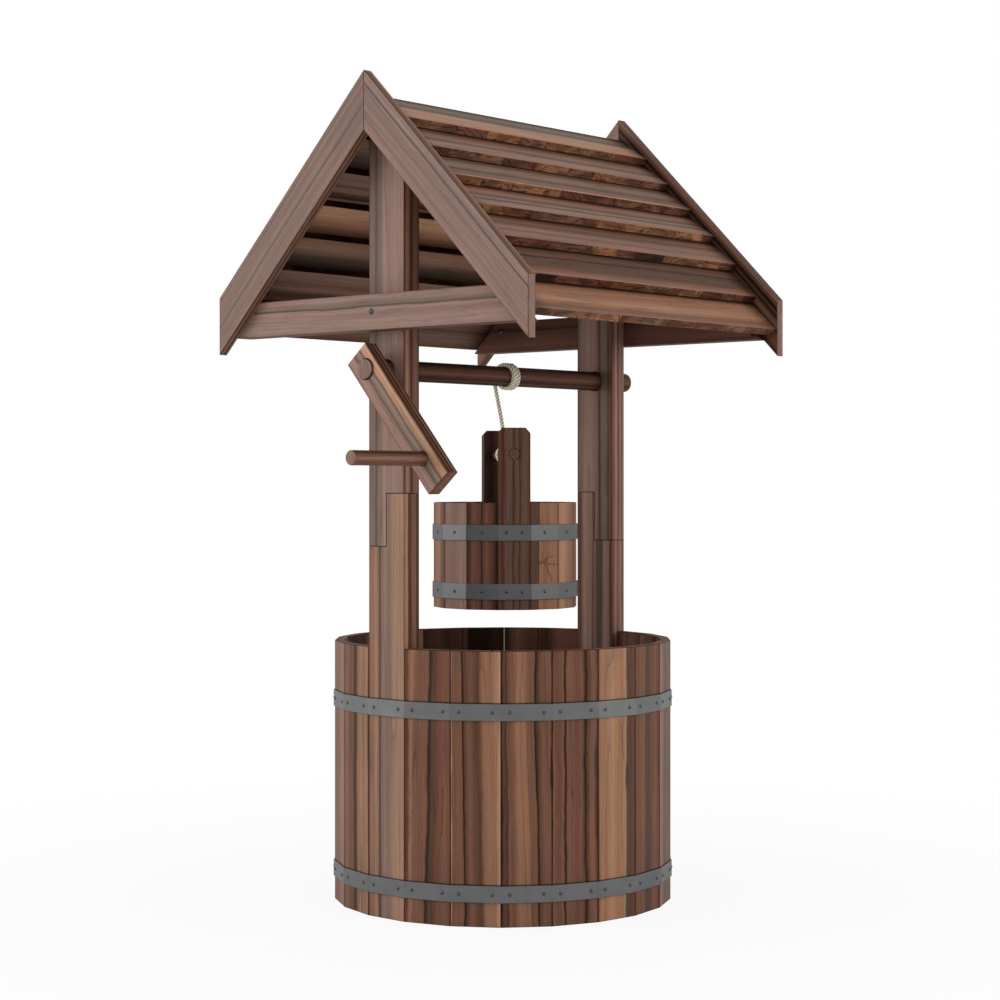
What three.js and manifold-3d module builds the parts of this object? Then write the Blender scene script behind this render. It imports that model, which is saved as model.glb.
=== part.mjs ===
// Wishing well planter in dark timber: a coopered barrel between two posts, a
// slatted gable roof, and a crank windlass that lifts a coopered bucket on a rope.
// Millimetres, +Z up. The ridge and the windlass run along X, the crank is at -X.
import * as THREE from 'three';
import { mergeVertices } from 'three/addons/utils/BufferGeometryUtils.js';
import Module from 'manifold-3d';

const wasm = await Module();
wasm.setup();

// Clearances
const gap = 0.3; // kept between neighbouring pieces
const overrun = 6; // how far a cutting shape runs past what it cuts
const weldDistance = 0.0001;
const roundSides = 32;

// Barrel
const barrelSides = 22;
const barrelCornerRadius = 240;
const barrelHeight = 366;
const staveThickness = 14;
const crozeDepth = 5;
const barrelHoopWidth = 22.5;
const barrelHoopThickness = 1.5;
const lowerHoopRise = 32.5; // ground to the underside of the lower hoop
const upperHoopDrop = 70.2; // rim to the top of the upper hoop

// Floor of the barrel
const floorRise = 38;
const floorThickness = 12;
const floorBoards = 6;
const drainGap = 4;
const battenWidth = 40;
const battenDepth = 24;
const battenHousing = 3; // how far the floor boards are let down over a batten
const battenSpacing = 180;

// Posts
const postWidth = 66;
const postThickness = 29.3;
const lapDrop = 166; // shaft's axis to the upper shoulder of the half lap
const lapLength = 72.1;

// Roof
const peakRise = 1140.9;
const eaveReach = 290;
const roofPitch = THREE.MathUtils.degToRad(45);
const bargeboardWidth = 57;
const bargeboardThickness = 14;
const tieDrop = 298.9; // peak to the top of the ties
const tieDepth = 48.5;
const tieThickness = 28.7;
const tieTuck = 4; // how far the ties' ends reach up behind the bargeboards
const ridgeDrop = 31.1; // peak of the bargeboards to the ridge of the slats
const ridgeSlatWidth = 63.5;
const slatWidth = 59.6;
const slatThickness = 12;
const slatLap = 2;
const slatTilts = [32.5, 33, 32.7, 33, 35.9, 42.5, 42.9].map(THREE.MathUtils.degToRad);

// Windlass
const shaftDrop = 52.7; // underside of the ties to the shaft's axis
const shaftDiameter = 28;
const shaftNearProud = 3; // past the crank arm
const shaftFarProud = 43.4; // past the far post
const shaftChamfer = 1.2;
const crankStandOff = 19.2; // post to crank arm
const crankRest = THREE.MathUtils.degToRad(-40.8); // from hanging straight down
const armThickness = 20;
const armWidth = 44;
const armHeel = 27.8; // shaft axis to the near end of the arm
const armToe = 43.1; // handle axis to the far end of the arm
const handleThrow = 158.9;
const handleDiameter = 19.5;
const handleReach = 131.4; // arm face to the end of the handle
const handleChamfer = 1;

// Rope
const ropeDiameter = 5;
const ropeSides = 6;
const loopSteps = 24;
const turnPitch = 5.6;
const windingTurns = 3.25;
const windingEnd = 1.5; // where the rope leaves the windlass, along X
const anchorBend = 4;
const anchorBoreRadius = 3.9;
const barTurns = 2;
const barPitch = 6.2;
const approachRise = 21.5; // rope's last straight point over the bucket's crossbar
const ropeTail = 8;
const ropeDrop = 112.3; // shaft's axis to the crossbar's axis
const dropSteps = 26;

// Bucket
const bucketSides = 14;
const bucketCornerRadius = 103;
const bucketHeight = 149;
const bucketWall = 11;
const bucketOffset = 5.5; // along X from the barrel's axis
const bucketTurn = THREE.MathUtils.degToRad(228.5);
const bucketHoopWidth = 22.3;
const bucketHoopThickness = 1.5;
const bucketLowerHoopRise = 14.2;
const bucketUpperHoopDrop = 30.5;
const bucketFloorRise = 10;
const bucketFloorThickness = 12;
const bucketCrozeDepth = 4;
const jointGrooveDepth = 1.6;
const jointGrooveWidth = 1.2;
const earRise = 104.4; // over the bucket's rim
const earClipWidth = 7;
const earClipHeight = 8;
const crossbarRise = 67.7; // over the bucket's rim
const crossbarDiameter = 15;
const crossbarChamfer = 0.8;

// Sizes that follow from those above
const halfGap = gap / 2;
const fullTurn = 2 * Math.PI;
const quarterTurn = Math.PI / 2;
const barrelStep = fullTurn / barrelSides;
const barrelApothem = barrelCornerRadius * Math.cos(barrelStep / 2);
const barrelInside = barrelApothem - staveThickness;
const halfPost = postWidth / 2;
const postInside = barrelApothem - postThickness;
const tieInside = barrelApothem + gap;
const roofInside = tieInside + tieThickness + gap;
const roofOutside = roofInside + bargeboardThickness;
const bargeboardDrop = bargeboardWidth / Math.cos(roofPitch);
const tieRise = peakRise - tieDrop - tieDepth;
const shaftRise = tieRise - shaftDrop;
const lapTop = shaftRise - lapDrop;
const lapRise = lapTop - lapLength;
const shaftRadius = shaftDiameter / 2;
const handleRadius = handleDiameter / 2;
const armInside = barrelApothem + crankStandOff;
const armOutside = armInside + armThickness;
const handleEnd = armOutside + handleReach;
const ropeRadius = ropeDiameter / 2;
const windingRadius = shaftRadius + gap + ropeRadius;
const bucketStep = fullTurn / bucketSides;
const bucketApothem = bucketCornerRadius * Math.cos(bucketStep / 2);
const bucketInside = bucketApothem - bucketWall;
const crossbarRadius = crossbarDiameter / 2;
const crossbarHeight = shaftRise - ropeDrop;
const bucketRim = crossbarHeight - crossbarRise;
const bucketBase = bucketRim - bucketHeight;

const well = new THREE.Group();
const windlass = new THREE.Group();
const crank = new THREE.Group();
const bucket = new THREE.Group();

// Materials
const looks = {
  stave: { color: 0x4a3a34, roughness: 0.72, metalness: 0 },
  post: { color: 0x5a4a42, roughness: 0.7, metalness: 0 },
  roof: { color: 0x54443c, roughness: 0.7, metalness: 0 },
  slat: { color: 0x3f2f29, roughness: 0.72, metalness: 0 },
  turned: { color: 0x4a2f25, roughness: 0.6, metalness: 0 },
  bucket: { color: 0x5f3c2c, roughness: 0.66, metalness: 0 },
  hoop: { color: 0x6d7076, roughness: 0.45, metalness: 0.8 },
  rope: { color: 0xcfc2a8, roughness: 0.9, metalness: 0 },
};

// Solids and meshes
function toSolid(geometry) {
  const bare = geometry.clone();
  bare.deleteAttribute('normal');
  bare.deleteAttribute('uv');
  const merged = mergeVertices(bare, weldDistance);
  return new wasm.Manifold(new wasm.Mesh({
    numProp: 3,
    vertProperties: new Float32Array(merged.attributes.position.array),
    triVerts: new Uint32Array(merged.index.array),
  }));
}

function toGeometry(solid) {
  const mesh = solid.getMesh();
  const geometry = new THREE.BufferGeometry();
  const positions = new Float32Array(mesh.vertProperties);
  geometry.setAttribute('position', new THREE.BufferAttribute(positions, 3));
  geometry.setIndex(new THREE.BufferAttribute(new Uint32Array(mesh.triVerts), 1));
  geometry.computeVertexNormals();
  return geometry;
}

function cutFrom(geometry, cutters) {
  const solid = cutters.reduce((rest, cutter) => rest.subtract(toSolid(cutter)), toSolid(geometry));
  return toGeometry(solid);
}

function commonOf(first, second) {
  return toGeometry(toSolid(first).intersect(toSolid(second)));
}

function joined(geometries) {
  const solids = geometries.map(toSolid);
  return toGeometry(solids.reduce((whole, solid) => whole.add(solid)));
}

function addPiece(parent, name, geometry, look) {
  const material = new THREE.MeshStandardMaterial({ ...look, flatShading: true });
  const mesh = new THREE.Mesh(geometry, material);
  mesh.name = name;
  parent.add(mesh);
  return mesh;
}

// Outlines and the solids made from them
function prism(outline, base, top) {
  const shape = new THREE.Shape(outline.map(([x, y]) => new THREE.Vector2(x, y)));
  const geometry = new THREE.ExtrudeGeometry(shape, { depth: top - base, bevelEnabled: false });
  return geometry.translate(0, 0, base);
}

// An outline in the YZ plane, extruded along X.
function beam(outline, from, to) {
  const axisX = new THREE.Vector3(1, 0, 0);
  const axisY = new THREE.Vector3(0, 1, 0);
  const axisZ = new THREE.Vector3(0, 0, 1);
  const turn = new THREE.Matrix4().makeBasis(axisY, axisZ, axisX);
  return prism(outline, 0, to - from).applyMatrix4(turn).translate(from, 0, 0);
}

function block(low, high) {
  const size = high.map((value, index) => value - low[index]);
  const middle = high.map((value, index) => (value + low[index]) / 2);
  return new THREE.BoxGeometry(...size).translate(...middle);
}

// A round bar along X with chamfered ends.
function roundBar(radius, chamfer, from, to) {
  const profile = [
    [0, from],
    [radius - chamfer, from],
    [radius, from + chamfer],
    [radius, to - chamfer],
    [radius - chamfer, to],
    [0, to],
  ].map(([across, along]) => new THREE.Vector2(across, along));
  return new THREE.LatheGeometry(profile, roundSides).rotateZ(-quarterTurn);
}

// A cutter for a round hole along X, with its flats clear of a bar of this radius.
function boreCutter(radius, from, to) {
  const corner = (radius + gap) / Math.cos(Math.PI / roundSides);
  const length = to - from + 2 * overrun;
  const cutter = new THREE.CylinderGeometry(corner, corner, length, roundSides);
  return cutter.rotateZ(-quarterTurn).translate((from + to) / 2, 0, 0);
}

function regularOutline(sides, apothem) {
  const step = fullTurn / sides;
  const corner = apothem / Math.cos(step / 2);
  const outline = [];
  for (let index = 0; index < sides; index += 1) {
    const angle = (index + 1 / 2) * step;
    outline.push([corner * Math.cos(angle), corner * Math.sin(angle)]);
  }
  return outline;
}

function mirrored(outline) {
  return outline.map(([y, z]) => [-y, z]);
}

// A line is written as the direction of its normal and its distance from the axis.
function crossing(first, second) {
  const spread = Math.sin(second.normal - first.normal);
  const x = first.distance * Math.sin(second.normal) - second.distance * Math.sin(first.normal);
  const y = second.distance * Math.cos(first.normal) - first.distance * Math.cos(second.normal);
  return [x / spread, y / spread];
}

function mitre(angle, distance) {
  return { normal: angle + quarterTurn, distance };
}

function staveOutline(middle, outside, inside, lowSide, highSide) {
  const face = { normal: middle, distance: outside };
  const back = { normal: middle, distance: inside };
  return [
    crossing(face, lowSide),
    crossing(face, highSide),
    crossing(back, highSide),
    crossing(back, lowSide),
  ];
}

// Sheet metal hoop that follows the flats of the staves.
function hoop(sides, apothem, thickness, base, width) {
  const inner = prism(regularOutline(sides, apothem + gap), base - overrun, base + width + overrun);
  const outer = prism(regularOutline(sides, apothem + gap + thickness), base, base + width);
  return cutFrom(outer, [inner]);
}

// Barrel
function barrelStave(index) {
  const middle = index * barrelStep;
  const side = Math.sign(Math.sin(middle));
  const postSide = { normal: side * quarterTurn, distance: halfPost + gap };
  const half = barrelSides / 2;
  const lowIsPost = index === 1 || index === half + 1;
  const highIsPost = index === half - 1 || index === barrelSides - 1;
  const low = lowIsPost ? postSide : mitre(middle - barrelStep / 2, halfGap);
  const high = highIsPost ? postSide : mitre(middle + barrelStep / 2, -halfGap);
  const outline = staveOutline(middle, barrelApothem, barrelInside, low, high);
  const groove = prism(
    regularOutline(barrelSides, barrelInside + crozeDepth),
    floorRise - gap,
    floorRise + floorThickness + gap,
  );
  return cutFrom(prism(outline, 0, barrelHeight), [groove]);
}

function addBarrel() {
  let number = 0;
  for (let index = 1; index < barrelSides; index += 1) {
    if (index !== barrelSides / 2) {
      number += 1;
      const name = `barrel_stave_${String(number).padStart(2, '0')}`;
      addPiece(well, name, barrelStave(index), looks.stave);
    }
  }
  const upperBase = barrelHeight - upperHoopDrop - barrelHoopWidth;
  const bases = { lower: lowerHoopRise, upper: upperBase };
  Object.entries(bases).forEach(([place, base]) => {
    const ring = hoop(barrelSides, barrelApothem, barrelHoopThickness, base, barrelHoopWidth);
    addPiece(well, `barrel_hoop_${place}`, ring, looks.hoop);
  });
}

// Floor boards in the croze, notched round the posts, on two battens. Open joints drain it.
function plantFloor() {
  const apothem = barrelInside + crozeDepth - gap;
  const disc = prism(regularOutline(barrelSides, apothem), floorRise, floorRise + floorThickness);
  const reach = barrelCornerRadius;
  const top = floorRise + floorThickness + overrun;
  const cutters = [-1, 1].map((side) => {
    const middle = side * reach;
    const half = reach - postInside + gap;
    const low = [middle - half, -halfPost - gap, floorRise - overrun];
    return block(low, [middle + half, halfPost + gap, top]);
  });
  for (let index = 1; index < floorBoards; index += 1) {
    const joint = -apothem + (2 * apothem * index) / floorBoards;
    const low = [-reach, joint - drainGap / 2, floorRise - overrun];
    cutters.push(block(low, [reach, joint + drainGap / 2, top]));
  }
  const boards = cutFrom(disc, cutters);
  const battenEdge = (battenSpacing + battenWidth) / 2;
  const length = Math.sqrt((barrelInside - gap) ** 2 - battenEdge ** 2);
  const battens = [-1, 1].map((side) => {
    const middle = (side * battenSpacing) / 2;
    return block(
      [middle - battenWidth / 2, -length, floorRise - battenDepth],
      [middle + battenWidth / 2, length, floorRise + battenHousing],
    );
  });
  return joined([boards, ...battens]);
}

// Roof slats: each tucks its upper edge under the one above
function stepped(point, direction, distance) {
  return [point[0] + direction[0] * distance, point[1] + direction[1] * distance];
}

function slatProfiles() {
  const ridge = [halfGap, peakRise - ridgeDrop];
  const profiles = [];
  let back = ridge;
  slatTilts.forEach((tilt, index) => {
    const isRidge = index === 0;
    const down = [Math.cos(tilt), -Math.sin(tilt)];
    const under = [-Math.sin(tilt), -Math.cos(tilt)];
    const plumb = [0, -1];
    const front = stepped(back, down, isRidge ? ridgeSlatWidth : slatWidth);
    const frontUnder = stepped(front, under, slatThickness);
    const backUnder = isRidge
      ? stepped(back, plumb, slatThickness / Math.cos(tilt))
      : stepped(back, under, slatThickness);
    profiles.push({ outline: [back, front, frontUnder, backUnder], down, under });
    back = stepped(stepped(frontUnder, down, -slatLap), under, gap);
  });
  return profiles;
}

const slats = slatProfiles();

// The room that a slat needs in a post, one clearance larger than the slat.
function slatRoom({ outline, down, under }) {
  const [back, front, frontUnder, backUnder] = outline;
  return [
    stepped(back, down, -gap),
    stepped(front, down, gap),
    stepped(stepped(frontUnder, down, gap), under, gap),
    stepped(stepped(backUnder, down, -gap), under, gap),
  ];
}

function addSlats() {
  slats.forEach(({ outline }, index) => {
    const left = beam(outline, -roofInside + gap, roofInside - gap);
    const right = beam(mirrored(outline), -roofInside + gap, roofInside - gap);
    addPiece(well, `roof_slat_left_${index + 1}`, left, looks.slat);
    addPiece(well, `roof_slat_right_${index + 1}`, right, looks.slat);
  });
}

// Posts, half lapped at mid height: built on the near side and turned for the far one
function lowerPost() {
  const outline = [
    [-halfPost, 0],
    [halfPost, 0],
    [halfPost, lapRise],
    [-halfGap, lapRise],
    [-halfGap, lapTop - gap],
    [-halfPost, lapTop - gap],
  ];
  return cutFrom(beam(outline, -barrelApothem, -postInside), [postBore()]);
}

function postBore() {
  return boreCutter(shaftRadius, -barrelApothem, -postInside).translate(0, 0, shaftRise);
}

function upperPost() {
  const slope = Math.tan(slatTilts[0]);
  const peak = peakRise - ridgeDrop - (slatThickness + gap) / Math.cos(slatTilts[0]);
  const outline = [
    [-halfPost, lapTop],
    [halfGap, lapTop],
    [halfGap, lapRise + gap],
    [halfPost, lapRise + gap],
    [halfPost, peak - halfPost * slope],
    [0, peak],
    [-halfPost, peak - halfPost * slope],
  ];
  const cutters = [postBore()];
  slats.slice(1).forEach((slat) => {
    const room = slatRoom(slat);
    const from = -barrelApothem - overrun;
    const to = -postInside + overrun;
    cutters.push(beam(room, from, to), beam(mirrored(room), from, to));
  });
  return cutFrom(beam(outline, -barrelApothem, -postInside), cutters);
}

// Cross tie under the roof, its ends cut to the slope of the bargeboards that hide them
function tie() {
  const edge = peakRise - bargeboardDrop + tieTuck;
  const slope = Math.tan(roofPitch);
  const top = tieRise + tieDepth;
  const outline = [
    [-(edge - tieRise) / slope, tieRise],
    [(edge - tieRise) / slope, tieRise],
    [(edge - top) / slope, top],
    [-(edge - top) / slope, top],
  ];
  return beam(outline, -tieInside - tieThickness, -tieInside);
}

function bargeboard() {
  const slope = Math.tan(roofPitch);
  const outline = [
    [halfGap, peakRise - bargeboardDrop - halfGap * slope],
    [eaveReach, peakRise - bargeboardDrop - eaveReach * slope],
    [eaveReach, peakRise - eaveReach * slope],
    [halfGap, peakRise - halfGap * slope],
  ];
  return outline;
}

function addGable(place, turn, sides) {
  const gable = new THREE.Group();
  gable.rotation.z = turn;
  well.add(gable);
  addPiece(gable, `post_${place}_lower`, lowerPost(), looks.post);
  addPiece(gable, `post_${place}_upper`, upperPost(), looks.post);
  addPiece(gable, `tie_${place}`, tie(), looks.roof);
  const board = bargeboard();
  const first = beam(board, -roofOutside, -roofInside);
  const second = beam(mirrored(board), -roofOutside, -roofInside);
  addPiece(gable, `bargeboard_${place}_${sides[0]}`, first, looks.roof);
  addPiece(gable, `bargeboard_${place}_${sides[1]}`, second, looks.roof);
}

// Windlass: the shaft turns in the posts, the crank is fixed on its near end
function windlassShaft() {
  const farEnd = barrelApothem + shaftFarProud;
  const bar = roundBar(shaftRadius, shaftChamfer, -armOutside - shaftNearProud, farEnd);
  const floor = windingRadius - anchorBend - ropeDiameter - gap;
  const depth = shaftRadius + overrun - floor;
  const bore = new THREE.CylinderGeometry(anchorBoreRadius, anchorBoreRadius, depth, loopSteps);
  const anchorX = windingEnd + turnPitch * windingTurns;
  bore.rotateX(quarterTurn).translate(anchorX, -anchorBend, floor + depth / 2);
  return cutFrom(bar, [bore]);
}

function crankArm() {
  const outline = [
    [-armWidth / 2, -handleThrow - armToe],
    [armWidth / 2, -handleThrow - armToe],
    [armWidth / 2, armHeel],
    [-armWidth / 2, armHeel],
  ];
  const shaftBore = boreCutter(shaftRadius, -armOutside, -armInside);
  const handleBore = boreCutter(handleRadius, -armOutside, -armInside);
  handleBore.translate(0, 0, -handleThrow);
  return cutFrom(beam(outline, -armOutside, -armInside), [shaftBore, handleBore]);
}

function addWindlass() {
  windlass.position.z = shaftRise;
  well.add(windlass);
  addPiece(windlass, 'windlass_shaft', windlassShaft(), looks.turned);
  crank.rotation.x = crankRest;
  windlass.add(crank);
  addPiece(crank, 'crank_arm', crankArm(), looks.roof);
  const handle = roundBar(handleRadius, handleChamfer, -handleEnd, -armInside);
  addPiece(crank, 'crank_handle', handle, looks.turned);
  crank.getObjectByName('crank_handle').position.z = -handleThrow;
}

// Rope: one unbroken tube on the shaft, and one that hangs and turns round the crossbar
function sweptTube(route, radius) {
  const points = [];
  const faces = [];
  const across = new THREE.Vector3(1, 0, 0);
  route.forEach((centre, row) => {
    const before = route[Math.max(row - 1, 0)];
    const after = route[Math.min(row + 1, route.length - 1)];
    const forward = after.clone().sub(before).normalize();
    if (Math.abs(across.dot(forward)) > Math.SQRT1_2 && row === 0) across.set(0, 1, 0);
    across.addScaledVector(forward, -across.dot(forward)).normalize();
    const upward = forward.clone().cross(across);
    for (let side = 0; side < ropeSides; side += 1) {
      const angle = (side * fullTurn) / ropeSides;
      const point = centre.clone().addScaledVector(across, radius * Math.cos(angle));
      point.addScaledVector(upward, radius * Math.sin(angle));
      points.push(...point.toArray());
    }
  });
  const ring = (row, side) => row * ropeSides + (side % ropeSides);
  for (let row = 0; row + 1 < route.length; row += 1) {
    for (let side = 0; side < ropeSides; side += 1) {
      faces.push(ring(row, side), ring(row, side + 1), ring(row + 1, side + 1));
      faces.push(ring(row, side), ring(row + 1, side + 1), ring(row + 1, side));
    }
  }
  for (let side = 1; side + 1 < ropeSides; side += 1) {
    const last = route.length - 1;
    faces.push(ring(0, 0), ring(0, side + 1), ring(0, side));
    faces.push(ring(last, 0), ring(last, side), ring(last, side + 1));
  }
  const geometry = new THREE.BufferGeometry();
  geometry.setAttribute('position', new THREE.Float32BufferAttribute(points, 3));
  geometry.setIndex(faces);
  geometry.computeVertexNormals();
  return geometry;
}

function printLeastGap(name, route) {
  const travelled = [0];
  for (let index = 1; index < route.length; index += 1) {
    travelled.push(travelled[index - 1] + route[index].distanceTo(route[index - 1]));
  }
  let least = Infinity;
  for (let first = 0; first < route.length; first += 1) {
    for (let second = first + 1; second < route.length; second += 1) {
      const apart = travelled[second] - travelled[first];
      if (apart > Math.PI * ropeDiameter) {
        least = Math.min(least, route[first].distanceTo(route[second]) - ropeDiameter);
      }
    }
  }
  const length = travelled[travelled.length - 1];
  console.log(`${name}: ${length.toFixed(1)} mm long, least gap to itself ${least.toFixed(2)} mm`);
}

// In the windlass's own frame: out of the blind bore in the shaft, round it, and down.
function windingRoute() {
  const route = [];
  const anchorX = windingEnd + turnPitch * windingTurns;
  const bendHeight = windingRadius - anchorBend;
  route.push(new THREE.Vector3(anchorX, -anchorBend, bendHeight - ropeDiameter));
  const bendSteps = loopSteps / 4;
  for (let step = 0; step < bendSteps; step += 1) {
    const angle = Math.PI - (quarterTurn * step) / bendSteps;
    const y = anchorBend * Math.cos(angle);
    route.push(new THREE.Vector3(anchorX, y, bendHeight + anchorBend * Math.sin(angle)));
  }
  const steps = windingTurns * loopSteps;
  for (let step = 0; step <= steps; step += 1) {
    const turn = windingTurns - step / loopSteps;
    const angle = turn * fullTurn;
    const y = windingRadius * Math.cos(angle);
    const z = windingRadius * Math.sin(angle);
    route.push(new THREE.Vector3(windingEnd + turnPitch * turn, y, z));
  }
  route.push(new THREE.Vector3(windingEnd, windingRadius, -ropeDiameter));
  return route;
}

// From the end of the winding down to the crossbar, twice round it, and a short tail.
function hangingRoute() {
  const along = new THREE.Vector3(Math.cos(bucketTurn), Math.sin(bucketTurn), 0);
  const across = new THREE.Vector3(-Math.sin(bucketTurn), Math.cos(bucketTurn), 0);
  const bar = new THREE.Vector3(bucketOffset, 0, crossbarHeight);
  const coil = crossbarRadius + gap + ropeRadius;
  const start = new THREE.Vector3(windingEnd, windingRadius, shaftRise - ropeDiameter - gap);
  const level = start.clone();
  level.z -= ropeDiameter;
  const beside = bar.clone().addScaledVector(across, coil);
  const over = beside.clone();
  over.z += ropeDiameter;
  const approach = bar.clone();
  approach.z += approachRise;
  const middle = level.clone().lerp(approach, 1 / 2);
  const drop = new THREE.CatmullRomCurve3([start, level, middle, approach, over, beside]);
  const route = drop.getSpacedPoints(dropSteps);
  const steps = barTurns * loopSteps;
  for (let step = 1; step <= steps; step += 1) {
    const turn = step / loopSteps;
    const angle = -turn * fullTurn;
    const point = bar.clone().addScaledVector(across, coil * Math.cos(angle));
    point.z += coil * Math.sin(angle);
    route.push(point.addScaledVector(along, -barPitch * turn));
  }
  const tail = route[route.length - 1].clone();
  tail.z -= ropeTail;
  route.push(tail);
  return route;
}

function addRope() {
  const winding = windingRoute();
  const hanging = hangingRoute();
  printLeastGap('Rope on the windlass', winding);
  printLeastGap('Hanging rope', hanging);
  addPiece(windlass, 'rope_winding', sweptTube(winding, ropeRadius), looks.rope);
  addPiece(well, 'rope_hanging', sweptTube(hanging, ropeRadius), looks.rope);
}

// Bucket, in its own frame: +X points to the near ear
function bucketCroze() {
  const outline = regularOutline(bucketSides, bucketInside + bucketCrozeDepth);
  const base = bucketBase + bucketFloorRise;
  return prism(outline, base - gap, base + bucketFloorThickness + gap);
}

function bucketStaves() {
  const firstSide = bucketStep / 2;
  const shell = prism(regularOutline(bucketSides, bucketApothem), bucketBase, bucketRim);
  const hollow = prism(
    regularOutline(bucketSides, bucketInside),
    bucketBase - overrun,
    bucketRim + overrun,
  );
  const reach = 2 * bucketCornerRadius;
  const low = mitre(firstSide, halfGap);
  const high = mitre(Math.PI - firstSide, -halfGap);
  const roof = { normal: quarterTurn, distance: reach };
  const wedge = [crossing(low, high), crossing(low, roof), crossing(high, roof)];
  const sector = prism(wedge, bucketBase, bucketRim);
  const cutters = [hollow, bucketCroze()];
  const count = bucketSides / 2 - 1;
  for (let index = 1; index < count; index += 1) {
    cutters.push(jointGroove(firstSide + index * bucketStep));
  }
  return cutFrom(commonOf(shell, sector), cutters);
}

// V groove down the outside where two staves meet
function jointGroove(angle) {
  const outside = bucketCornerRadius + overrun;
  const depth = jointGrooveDepth + overrun;
  const half = ((jointGrooveWidth / 2) * depth) / jointGrooveDepth;
  const outline = [
    [bucketCornerRadius - jointGrooveDepth, 0],
    [outside, -half],
    [outside, half],
  ];
  return prism(outline, bucketBase - overrun, bucketRim + overrun).rotateZ(angle);
}

function bucketEar() {
  const low = mitre(-bucketStep / 2, halfGap);
  const high = mitre(bucketStep / 2, -halfGap);
  const top = bucketRim + earRise;
  const body = prism(staveOutline(0, bucketApothem, bucketInside, low, high), bucketBase, top);
  const half = bucketApothem * Math.tan(bucketStep / 2);
  const front = beam([
    [-half, bucketBase],
    [half, bucketBase],
    [half, top - earClipHeight],
    [half - earClipWidth, top],
    [earClipWidth - half, top],
    [-half, top - earClipHeight],
  ], bucketInside - overrun, bucketApothem + overrun);
  const bore = boreCutter(crossbarRadius, bucketInside, bucketApothem);
  bore.translate(0, 0, crossbarHeight);
  return cutFrom(commonOf(body, front), [bore, bucketCroze()]);
}

function bucketBottom() {
  const outline = regularOutline(bucketSides, bucketInside + bucketCrozeDepth - gap);
  const base = bucketBase + bucketFloorRise;
  return prism(outline, base, base + bucketFloorThickness);
}

function addBucket() {
  bucket.position.x = bucketOffset;
  bucket.rotation.z = bucketTurn;
  well.add(bucket);
  const staves = bucketStaves();
  addPiece(bucket, 'bucket_staves_right', staves, looks.bucket);
  addPiece(bucket, 'bucket_staves_left', staves.clone().rotateZ(Math.PI), looks.bucket);
  addPiece(bucket, 'bucket_ear_near', bucketEar(), looks.bucket);
  addPiece(bucket, 'bucket_ear_far', bucketEar().rotateZ(Math.PI), looks.bucket);
  addPiece(bucket, 'bucket_bottom', bucketBottom(), looks.bucket);
  const bar = roundBar(crossbarRadius, crossbarChamfer, -bucketApothem, bucketApothem);
  addPiece(bucket, 'bucket_crossbar', bar.translate(0, 0, crossbarHeight), looks.turned);
  const upperBase = bucketRim - bucketUpperHoopDrop - bucketHoopWidth;
  const bases = { lower: bucketBase + bucketLowerHoopRise, upper: upperBase };
  Object.entries(bases).forEach(([place, base]) => {
    const ring = hoop(bucketSides, bucketApothem, bucketHoopThickness, base, bucketHoopWidth);
    addPiece(bucket, `bucket_hoop_${place}`, ring, looks.hoop);
  });
}

addBarrel();
addPiece(well, 'planter_floor', plantFloor(), looks.stave);
addGable('near', 0, ['left', 'right']);
addGable('far', Math.PI, ['right', 'left']);
addSlats();
addWindlass();
addRope();
addBucket();

// The origin is under the middle of the whole width, handle included.
well.position.x = (handleEnd - roofOutside) / 2;
const model = new THREE.Group();
model.add(well);

export default model;
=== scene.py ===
import math
import random

import bmesh
import bpy
from mathutils import Matrix, Vector
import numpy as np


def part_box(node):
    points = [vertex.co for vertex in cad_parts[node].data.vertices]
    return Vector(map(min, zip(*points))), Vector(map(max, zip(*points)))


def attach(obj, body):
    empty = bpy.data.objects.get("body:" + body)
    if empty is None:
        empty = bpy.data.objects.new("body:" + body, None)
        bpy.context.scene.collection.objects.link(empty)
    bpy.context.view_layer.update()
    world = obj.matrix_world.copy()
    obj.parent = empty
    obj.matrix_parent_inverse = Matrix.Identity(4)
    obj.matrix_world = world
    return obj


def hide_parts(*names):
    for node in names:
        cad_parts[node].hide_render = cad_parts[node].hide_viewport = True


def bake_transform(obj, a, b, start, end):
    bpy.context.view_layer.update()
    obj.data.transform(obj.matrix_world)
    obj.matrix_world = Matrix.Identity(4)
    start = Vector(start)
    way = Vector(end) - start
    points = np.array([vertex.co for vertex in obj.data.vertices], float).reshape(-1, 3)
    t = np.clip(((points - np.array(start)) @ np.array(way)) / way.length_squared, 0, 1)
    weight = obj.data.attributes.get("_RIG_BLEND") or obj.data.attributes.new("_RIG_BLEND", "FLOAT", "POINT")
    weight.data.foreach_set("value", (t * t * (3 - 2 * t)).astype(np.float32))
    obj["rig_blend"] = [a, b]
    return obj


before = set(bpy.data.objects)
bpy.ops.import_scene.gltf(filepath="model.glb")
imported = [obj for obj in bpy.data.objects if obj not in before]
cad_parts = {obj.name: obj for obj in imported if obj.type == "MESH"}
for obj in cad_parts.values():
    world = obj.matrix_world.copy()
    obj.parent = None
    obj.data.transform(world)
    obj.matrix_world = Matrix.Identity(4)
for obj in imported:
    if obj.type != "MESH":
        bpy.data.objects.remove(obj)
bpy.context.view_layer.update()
scene = bpy.context.scene
scene.view_settings.view_transform = "Standard"
fullTurn = 2 * math.pi
wayX, wayY, wayZ = Vector((1, 0, 0)), Vector((0, 1, 0)), Vector((0, 0, 1))
print("Frame loaded")

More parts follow.
